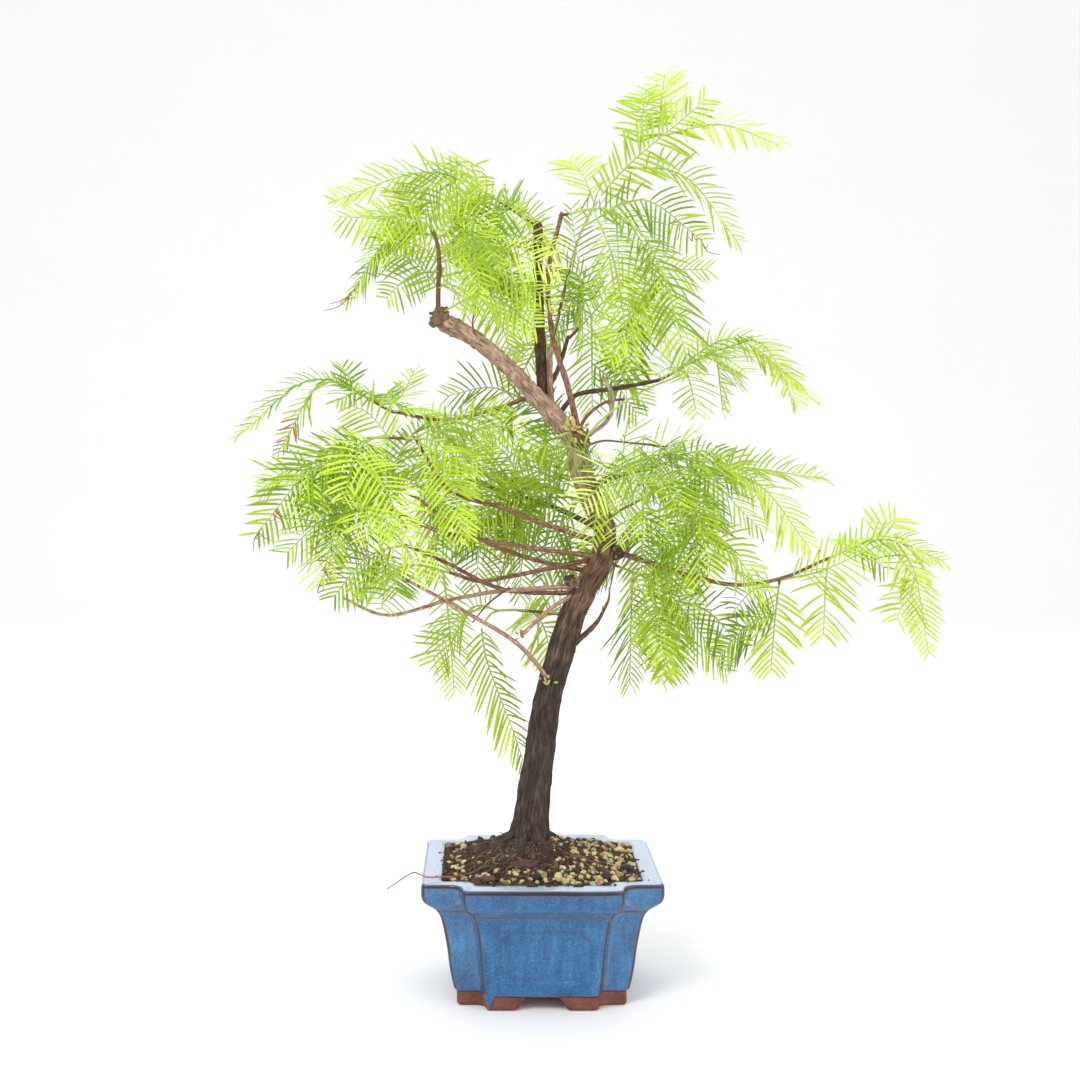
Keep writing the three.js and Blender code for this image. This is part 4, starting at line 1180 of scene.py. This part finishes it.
# Bark in stretched strips along the grain, from dark furrows to pale flakes
def barkOf(name, wood):
    made = Shader("bark" + name.capitalize())
    grain, around, stretch = made.attribute("grain"), wood["around"], wood["stretch"]
    strips = made.noise(made.stretched(grain, (1, 1, stretch)), around, 6, 0.65)
    fibres = made.noise(made.stretched(grain, (1, 1, stretch * 0.6)), around * 3.4, 4, 0.7)
    patches = made.noise(made.stretched(grain, (1, 1, 0.5)), around * 0.22, 3, 0.5)
    height = strips * 0.5 + fibres * 0.3 + patches * 0.2
    tone = made.ramp(height, barkStops(wood["tones"]))
    if "zones" in wood:
        blotches = made.noise(made.stretched(grain, (1, 1, 0.4)), around * 0.32, 4, 0.6)
        tone = made.mix(made.rise(blotches, 0.5, 0.62) * 0.45, tone, linear(50, 46, 42))
        far = made.node("SeparateXYZ", inlets={"Vector": grain}, outlet="Z") + patches * 50
        for zone in wood["zones"]:
            tone = made.mix(made.rise(far, *zone["from"]), tone, made.ramp(height, barkStops(zone["tones"])))
    peel = made.rise(strips * 0.6 + patches * 0.4, 0.59, 0.67)
    made.give(Base_Color=made.mix(peel * 0.7, tone, linear(*wood["flake"])), Roughness=0.88 + fibres * 0.1)
    made.bump(strips + fibres * 0.6, wood["relief"], 0.9)
    return made.material


barks = {name: barkOf(name, wood) for name, wood in woods.items()}


# Swells a limb where another leaves it
def swell(bm, bumps):
    bm.normal_update()
    bumps = [(Vector(place), size, high) for place, size, high in bumps]
    for vert in bm.verts:
        for place, size, high in bumps:
            gap = (vert.co - place).length_squared / (size * size)
            if gap < 6:
                vert.co += vert.normal * high * math.exp(-gap)


def trunkRadius(turn, share, far):
    lobe = 0.6 + np.cos(turn * flare["lobes"] + 0.5 * np.sin(turn * 2))
    flared = 1 + flare["depth"] * np.exp(-far / flare["fade"] / 1.25) * lobe
    body = trunkPath.spread(trunkThick, share) / 2 * flared
    old = np.clip((240 - far) / 150, 0.25, 1)
    deep = furrows(turn, far, 2.6, 26, 3) * bark["furrow"] + furrows(turn, far, 6.5, 9, 7) * bark["fine"]
    lumps = furrows(turn, far, 0.9, 17, 12) * 0.5
    return body - 0.3 + deep * (0.45 + 0.55 * old) + lumps


collar = {"inside": 7.5, "size": 4.2, "high": 1.1}
knots = [
    ((-12, -9, 132), 3.4, 1.3), ((9, -7, 168), 3, 1.2), ((1, -9, 200), 2.6, 1.1), ((25, -9, 236), 3, 1.2),
    ((49, -5, 292), 3, 1),
]
trunkMesh = skin(trunkPath, bark["sides"], bark["spacing"], trunkRadius)
collars = []  # where boughs come out of the bark, and knots: place, size and height
onLeader = ("upper_left", "pale_stem", "dead_stub", "back_top", "upper_right")
for name, bough in boughs.items():
    if name not in onLeader:
        line = Path(bough["path"]).line
        out = line[(np.linalg.norm(line - line[0], axis=1) > collar["inside"]).argmax()]
        collars.append((out, collar["size"], collar["high"]))
swell(trunkMesh, collars + knots)
pieceOf("trunkBark", meshOf(trunkMesh, "trunkBark"), [barks["trunk"]], ["trunk"])

surfaceRoots = {
    "rise": [(0, 9), (0.3, 2.2), (0.65, 0.4), (1, -2.6)],  # share of the reach, height over the soil
    "rows": [  # turn round the foot, reach, thickness and sideways bend
        (-1.9, 30, 7.5, 5), (-2.7, 34, 6.5, -6), (2.5, 30, 6, 5), (1.5, 26, 6, 4), (-0.9, 27, 6.5, -5),
        (0.3, 30, 6.5, 6), (-1.35, 22, 5, -3),
    ],
}
for index, (turn, reach, thick, bend) in enumerate(surfaceRoots["rows"]):
    points = []
    for share, high in surfaceRoots["rise"]:
        far = 5 + (reach - 5) * share
        x = mound["middle"][0] + math.cos(turn) * far - math.sin(turn) * bend * share * share
        y = math.sin(turn) * far + math.cos(turn) * bend * share * share
        points.append((x, y, float(moundHeight(x, y)) + high))
    path = Path(points)

    def rootRadius(turns, share, far, thick=thick, index=index):
        return thick / 2 * (1 - 0.66 * share) * (1 + 0.13 * furrows(turns, far, 1.6, 9, index))

    rootMesh = skin(path, 22, 1.0, rootRadius)
    pieceOf(f"surfaceRoot{index}", meshOf(rootMesh, f"surfaceRoot{index}"), [barks["trunk"]], ["trunk"])

leaderKnobs = [  # place, size and height
    ((-68, -16, 436), 3.2, 2.0), ((-60, -15, 430), 3, 1.6), ((-44, -14, 427), 3, 1.4), ((-71, -8, 433), 3, 1.6),
    ((-30, -11, 409), 2.8, 1.2), ((-8, -8, 390), 3, 1.4), ((-64, -8, 444), 2.6, 1.6), ((2, -5, 386), 3, 1.3),
]
limbSpots, limbReach = [], []


def remember(path, thick):
    shares = np.linspace(0, 1, max(8, int(path.length / 3)))
    limbSpots.extend(path.at(shares).tolist())
    limbReach.extend((path.spread(thick, shares) / 2).tolist())


remember(trunkPath, trunkThick)
for index, (name, bough) in enumerate(boughs.items()):
    path = Path(bough["path"])
    remember(path, bough["thick"])
    wood = woods[bough["wood"]]

    def boughRadius(turns, share, far, path=path, bough=bough, wood=wood, index=index):
        base = path.spread(bough["thick"], share) / 2
        nodes = 0.14 * nearness((far + index * 3) % 17, 8, 1.5)
        strips, grain = furrows(turns, far, 2.2, 12, index * 2.3), furrows(turns, far, 0.8, 6, index)
        uneven = 1 + nodes + (strips * wood["rough"] + grain * wood["rough"])
        return base * bough.get("slim", wood["slim"]) * (1 - bough.get("taper", 0) * share) * uneven + 0.05

    made = skin(path, wood["sides"], wood["spacing"], boughRadius)
    if name == "leader":
        swell(made, leaderKnobs)
    label = "bough" + "".join(word.capitalize() for word in name.split("_"))
    slotName = "bark" if name == "leader" else "wood"
    pieceOf(label, meshOf(made, label), [barks[bough["wood"]]], ["bough_" + name])
print("stage: trunk and boughs made")


# Needles: one closed, slender shape, dealt along the ribs of every frond

needle = {
    "reach": 25, "pitch": 3.9, "sweep": (66, 46), "half": 0.86, "spread": (0.86, 1.3), "thick": 0.26,
    "droop": 3.6, "heavy": (0.5, 1.7), "curl": 1.4, "fold": (-4, 32), "missing": 0.04, "youngFrom": 0.68,
    "outline": [(0, 0.4), (0.14, 0.86), (0.42, 1), (0.8, 0.84), (1, 0)],  # share of the length, half width
}
spray = {
    "blade": 92, "side": 58, "forward": 0.62, "outward": 0.78, "hang": 0.22, "shortest": 0.12,
    "yaw": 1.5, "rise": (0.25, 0.75), "inner": 0.06, "outer": 0.6, "kept": 0.8, "withered": (8, 17),
}
tints = [  # plain colours, dealt by frond, and how often; each mass tells its own share of dry ones
    ("needleDeep", (126, 158, 34), 0.22),
    ("needleMid", (164, 192, 46), 0.36),
    ("needleFresh", (186, 212, 62), 0.29),
    ("needleLime", (198, 226, 68), 0.1),
    ("needlePale", (214, 232, 118), 0.02),
    ("needleDry", (164, 124, 74), 0),
]
younger = [1, 2, 3, 4, 4, 5]  # the tint towards a frond's tip
dryTint = 5


def needleShape():
    bm = bmesh.new()
    bmesh.ops.create_cone(bm, cap_ends=True, segments=3, radius1=1, radius2=1, depth=1)
    bmesh.ops.subdivide_edges(bm, edges=uprightEdges(bm), cuts=3, use_grid_fill=True)
    tip = [vert for vert in bm.verts if vert.co.z > 0.49]
    bmesh.ops.pointmerge(bm, verts=tip, merge_co=(0, 0, 0.5))
    for vert in bm.verts:
        along, wide = needle["outline"][round((vert.co.z + 0.5) * 4)]
        vert.co = (along, vert.co.x * wide, vert.co.y * wide)
    return arraysOf(bm)


def faceOf(random):
    turn = random.between(-0.5, 0.5) * spray["yaw"]
    rise = random.between(*spray["rise"])
    return unit(np.array([math.sin(turn), -math.cos(turn), rise]))


down = np.array([0, 0, -1.0])


# Adds the needles on both sides of a rib: rows of base, way, flat side, sag, length, tint and half width
def growFrond(needles, rib, face, random, tint, scale):
    count = max(5, round(rib.length / (needle["pitch"] * math.sqrt(scale))))
    share = (np.arange(count) + 0.7) / count
    centre, along = rib.at(share), rib.along(share)
    normal = unit(face - along * (along @ face)[:, None])
    side = np.cross(along, normal)
    full = np.minimum(1, np.minimum(0.62 + 1.6 * share, 0.42 + 1.5 * (1 - share))) * scale
    wide = needle["half"] * random.between(*needle["spread"])
    fold, heavy = random.between(*needle["fold"]), random.between(*needle["heavy"])
    for hand in (1, -1):
        noisy = random.state.normal(0, 1, (5, count))
        wide0, wide1 = needle["sweep"]
        sweep = np.radians(wide0 + (wide1 - wide0) * share**1.4 + 3.6 * noisy[0])
        lift = np.radians(fold + 6 * noisy[1])
        way = side * (hand * np.sin(sweep))[:, None] + along * np.cos(sweep)[:, None]
        way = unit(way * np.cos(lift)[:, None] + normal * np.sin(lift)[:, None])
        across = np.cross(normal, way)
        twist = 0.2 * noisy[2] + 0.2 * hand
        flat = across * np.cos(twist)[:, None] + normal * np.sin(twist)[:, None]
        reach = needle["reach"] * full * (1 + 0.08 * noisy[3])
        droop = needle["droop"] * (heavy + 0.35 * noisy[4])
        sag = (down - normal * 0.4) * droop[:, None] + along * needle["curl"]
        kept = random.state.random(count) > needle["missing"]
        slots = np.full(count, 1 if tint == dryTint else tint)
        slots[(share > needle["youngFrom"]) & (random.state.random(count) < 0.75)] = younger[tint]
        base = centre + along * (0.5 * hand)
        row = (base, way, flat, sag * (full**1.5)[:, None], reach, slots, np.full(count, wide))
        needles.append([part[kept] for part in row])


def shootCurve(start, shoot):
    end = np.array(shoot["to"], float)
    middle = shoot.get("via", (start + end) / 2 + np.array([0, 0, shoot["lift"]]))
    return Path([start, middle, end])


room = [(np.array(corner) - np.array(potMiddle)) / mm for corner in cadBounds]


# Whether a frond's tip would pass the plant's own reach
def beyond(spot):
    return bool((spot < room[0] + 5).any() or (spot > room[1] - 5).any())


# Thin, curled ends without life on the outer part of a rib
def witheredEnds(rib, shoot):
    strands = []
    for dry in range(shoot.get("withered", 0)):
        curl = Seeded(shoot["seed"] * 31 + dry)
        root = rib.at(curl.between(0.7, 1))
        way = unit(np.array([curl.between(-1, 1), curl.between(-0.6, 0.6), curl.between(-1, 0.1)]))
        back = unit(np.array([curl.between(-1, 1), curl.between(-0.4, 0.4), curl.between(-0.6, 1)]))
        reach = curl.between(*spray["withered"])
        bent = Path([root, root + way * reach * 0.6, root + way * reach * 0.8 + back * reach * 0.5], 8)
        strands.append((bent.line, [0.42, 0.34, 0.2], 2))
    return strands


# Grows a mass's shoots, each with a twig, a frond at its end and pairs of side fronds along it
def growMass(mass, seed):
    fine = Seeded(seed)
    needles, strands = [], []
    mood = mass.get("mood", fine.between(-0.12, 0.12))  # above 0 deals more of the deep tints
    level = down * -mass.get("level", 0)
    moods = (1, 1, -0.6, -0.6, -0.6)
    weights = [max(0.01, tint[2] + mood * share) for tint, share in zip(tints, moods)] + [mass.get("dry", 0)]
    for index, shoot in enumerate(mass["shoots"]):
        start = first.at(shoot["at"]) if index else np.array(mass["from"], float)
        curve = shootCurve(start, shoot)
        twigShare = max(spray["shortest"], 1 - spray["blade"] / curve.length, 0.5 if "wood" in shoot else 0)
        twig = curve.part(0, twigShare, 5)
        woody = shoot.get("wood", 0.85 if index else 1.15)
        if index == 0:
            first = curve
            aged = curve.part(0, 0.5 if "wood" in shoot else twigShare * 0.55, 5)
            strands.append((aged.line[::3], [woody, woody * 0.75], 0))
        strands.append((twig.line[::4], [woody * 0.98, 0.65], 1))
        rib = curve.part(twigShare, 1, 5)
        strands.append((rib.line[::5], [0.7, 0.5, 0.28], 1))
        random = Seeded(shoot["seed"])
        short = mass.get("short", 1)
        tint = shoot.get("tint", fine.pick(weights))
        growFrond(needles, rib, unit(faceOf(random) + level), fine, tint, shoot.get("short", short))
        strands += witheredEnds(rib, shoot)
        low = spray["inner"] + 6 / curve.length
        high = max(spray["outer"], twigShare * 0.95)
        for pair in range(shoot["pairs"]):
            share = low + (pair + random.between(0.15, 0.85)) / shoot["pairs"] * (high - low)
            root, along = curve.at(share), curve.along(share)
            for hand in (1, -1):
                leaning = faceOf(random)
                reach = shoot.get("side", spray["side"]) * random.between(0.6, 1.15) * (1 - 0.25 * share)
                if random.between(0, 1) > spray["kept"]:
                    continue
                across = unit(np.cross(along, leaning)) * hand
                towards = along * spray["forward"] + across * spray["outward"]
                hung = towards + down * spray["hang"]
                while reach > 20 and beyond(root + hung * reach):
                    reach *= 0.9
                sideRib = Path([root, root + towards * reach * 0.5, root + hung * reach], 12)
                strands.append((sideRib.line[::4], [0.5, 0.4, 0.24], 1))
                growFrond(needles, sideRib, unit(leaning + level), fine, fine.pick(weights), 0.92 * short)
    return needles, strands


limbTree = KDTree(len(limbSpots))
for index, spot in enumerate(limbSpots):
    limbTree.insert(spot, index)
limbTree.balance()

needleMaterials = [
    Shader(name, Base_Color=linear(*colour), Roughness=0.55, Specular_IOR_Level=0.22).material
    for name, colour, _ in tints
]
twigBrown = plainSurface("twigBrown", (88, 54, 36), (140, 98, 66), 600, 0.8, 0.0002)
ribGreen = plainSurface("ribGreen", (136, 170, 62), (186, 210, 98), 500, 0.6, 0.0001)
solid, solidFaces = needleShape()
needleCount = 0
for index, (name, mass) in enumerate(masses.items()):
    needles, strands = growMass(mass, 100 + index)
    rows = [np.concatenate(part) for part in zip(*needles)]
    middles = rows[0] + rows[1] * rows[4][:, None] * 0.5
    near = [limbTree.find(middle) for middle in middles.tolist()]
    clear = np.array([distance > limbReach[spot] + 1.2 for _, spot, distance in near])  # none inside a limb
    base, way, flat, sag, size, slot, wide = (row[clear] for row in rows)
    above = np.cross(way, flat)
    half = wide * (0.8 + 0.2 * size / needle["reach"])
    places = (
        base[:, None]
        + way[:, None] * (solid[None, :, 0] * size[:, None])[..., None]
        + flat[:, None] * (solid[None, :, 1] * half[:, None])[..., None]
        + above[:, None] * (solid[None, :, 2] * needle["thick"])[..., None]
        + sag[:, None] * (solid[None, :, 0] ** 2)[..., None]
    )
    label = "".join(word.capitalize() for word in name.split("_"))
    mesh = manyOf("needles" + label, solid, solidFaces, places, slot)
    pieceOf("needles" + label, mesh, needleMaterials, ["foliage_" + name], smooth=False)
    twigs = strandsOf("twigs" + label, strands, [twigBrown, ribGreen, needleMaterials[dryTint]])
    pieceOf("twigs" + label, twigs, [], ["foliage_" + name])
    needleCount += len(base)
print("stage: foliage made,", needleCount, "needles,", needleCount * len(solidFaces), "triangles")


# Buds and bare twigs

budMaterials = {
    "tan": plainSurface("budTan", (132, 96, 58), (186, 152, 100), 800, 0.7, 0.0002),
    "yellow": plainSurface("budYellow", (166, 150, 76), (216, 208, 132), 800, 0.6, 0.0002),
    "knob": plainSurface("knobDark", (64, 46, 38), (150, 120, 100), 420, 0.9, 0.0006),
    # a dark knob colour, darker still as painted shade for knobs that sit in the shadow of the boughs
    "deep": plainSurface("knobDarkPaintedShade", (30, 23, 20), (86, 66, 54), 420, 0.9, 0.0006),
}
clusters = [  # middle, spread, count, least and most length, kind and the bough they sit on
    {"at": (-66, -11, 436), "spread": 8, "count": 22, "size": (0.8, 1.6), "kind": "knob", "on": "leader"},
    {"at": (22, -8, 365), "spread": 7.5, "count": 30, "size": (1.3, 2.8), "kind": "yellow", "on": "red_shoot"},
    {"at": (-12.4, -18, 232), "spread": 3, "count": 14, "size": (1.2, 2.2), "kind": "tan", "on": "bud_twig"},
    {
        "at": (5, -10, 200), "spread": 4.5, "count": 9, "size": (1.2, 2.2), "kind": "yellow",
        "on": "left_low_front",
    },
    {"at": (20, -9, 265), "spread": 7, "count": 20, "size": (0.8, 1.6), "kind": "knob", "on": "left_bare"},
    {"at": (53, -2, 284), "spread": 6, "count": 16, "size": (0.8, 1.6), "kind": "knob", "on": "long_right"},
    {"at": (26, -2, 358), "spread": 8, "count": 22, "size": (0.9, 1.9), "kind": "knob", "on": "red_shoot"},
    {"at": (50, -4, 285), "spread": 4, "count": 12, "size": (1.4, 2.6), "kind": "tan", "on": "long_right"},
    {"at": (-6, -5, 392), "spread": 4, "count": 10, "size": (1.4, 2.4), "kind": "tan", "on": "leader"},
]
random = Seeded(13)
for index, cluster in enumerate(clusters):
    budMesh = bmesh.new()
    plump = 0.8 if cluster["kind"] == "knob" else 0.42
    for _ in range(cluster["count"]):
        offset = Vector(random.state.normal(0, 0.45, 3).tolist()) * cluster["spread"]
        size = random.between(*cluster["size"])
        place = Matrix.Translation(Vector(cluster["at"]) + offset)
        heading = (offset + Vector((0, -1, 1.2))).to_track_quat("Z", "Y").to_matrix().to_4x4()
        shape = place @ heading @ Matrix.Diagonal((size * plump, size * plump, size, 1))
        bmesh.ops.create_uvsphere(budMesh, u_segments=10, v_segments=8, radius=1, matrix=shape)
    name = f"buds{index}"
    pieceOf(name, meshOf(budMesh, name), [budMaterials[cluster["kind"]]], ["bough_" + cluster["on"]])

burls = [  # rough swellings: middle, half sizes, the bough they sit on and kind
    {"at": (-65, -11, 436), "size": (6.4, 5.6, 6.0), "on": "leader", "kind": "knob"},
    # the deep burls take the dark range, which holds painted shade as well as the knob's own dark wood
    {"at": (19.5, -7, 266), "size": (3.4, 3.0, 4.4), "on": "left_bare", "kind": "deep"},
    {"at": (51, -2, 284), "size": (4.6, 4.0, 5.0), "on": "long_right", "kind": "deep"},
    {"at": (26, -2, 358), "size": (6.4, 5.0, 5.6), "on": "red_shoot", "kind": "knob"},
]
for index, burl in enumerate(burls):
    burlMesh = bmesh.new()
    shape = Matrix.Translation(burl["at"]) @ Matrix.Diagonal((*burl["size"], 1))
    bmesh.ops.create_icosphere(burlMesh, subdivisions=4, radius=1, matrix=shape)
    for vert in burlMesh.verts:
        place = vert.co.copy()
        lumps = sum(noise.noise(place * fine) * high for fine, high in ((0.2, 0.5), (0.55, 0.32), (1.3, 0.16)))
        vert.co += (place - Vector(burl["at"])) * lumps
    name = f"burl{index}"
    pieceOf(name, meshOf(burlMesh, name), [budMaterials[burl["kind"]]], ["bough_" + burl["on"]])

bare = [  # points, thickness, and 0 for brown or 1 for green
    {
        "points": [(26, -10, 352), (40, -16, 357), (54, -18, 356), (82, -20, 353)],
        "thick": [0.9, 0.7, 0.5], "slot": 0,
    },
    {
        "points": [(28, -8, 350), (31.7, -14, 362.2), (60, -16, 386), (91.5, -18, 399.7)],
        "thick": [1.0, 0.8, 0.5], "slot": 1,
    },
    {"points": [(46, -2, 286), (54, -12, 290), (60, -18, 300)], "thick": [0.9, 0.6, 0.4], "slot": 0},
    {"points": [(42, -9, 248), (44.6, -9, 254), (45, -10, 262)], "thick": [1.1, 0.8, 0.4], "slot": 0},
    {"points": [(36, -8, 239), (40, -12, 244), (40, -14, 250)], "thick": [0.8, 0.5, 0.3], "slot": 0},
    {"points": [(-20, -12, 262), (-34, -18, 252), (-44, -20, 240)], "thick": [0.8, 0.6, 0.4], "slot": 0},
    {"points": [(-40, -10, 420), (-44, -16, 432), (-42, -18, 444)], "thick": [0.8, 0.6, 0.4], "slot": 0},
]
strands = [(Path(twig["points"]).line[::6], twig["thick"], twig["slot"]) for twig in bare]
pieceOf("bareTwigs", strandsOf("bareTwigs", strands, [twigBrown, ribGreen], 1), [], ["bough_red_shoot"])
print("stage: buds and bare twigs made")
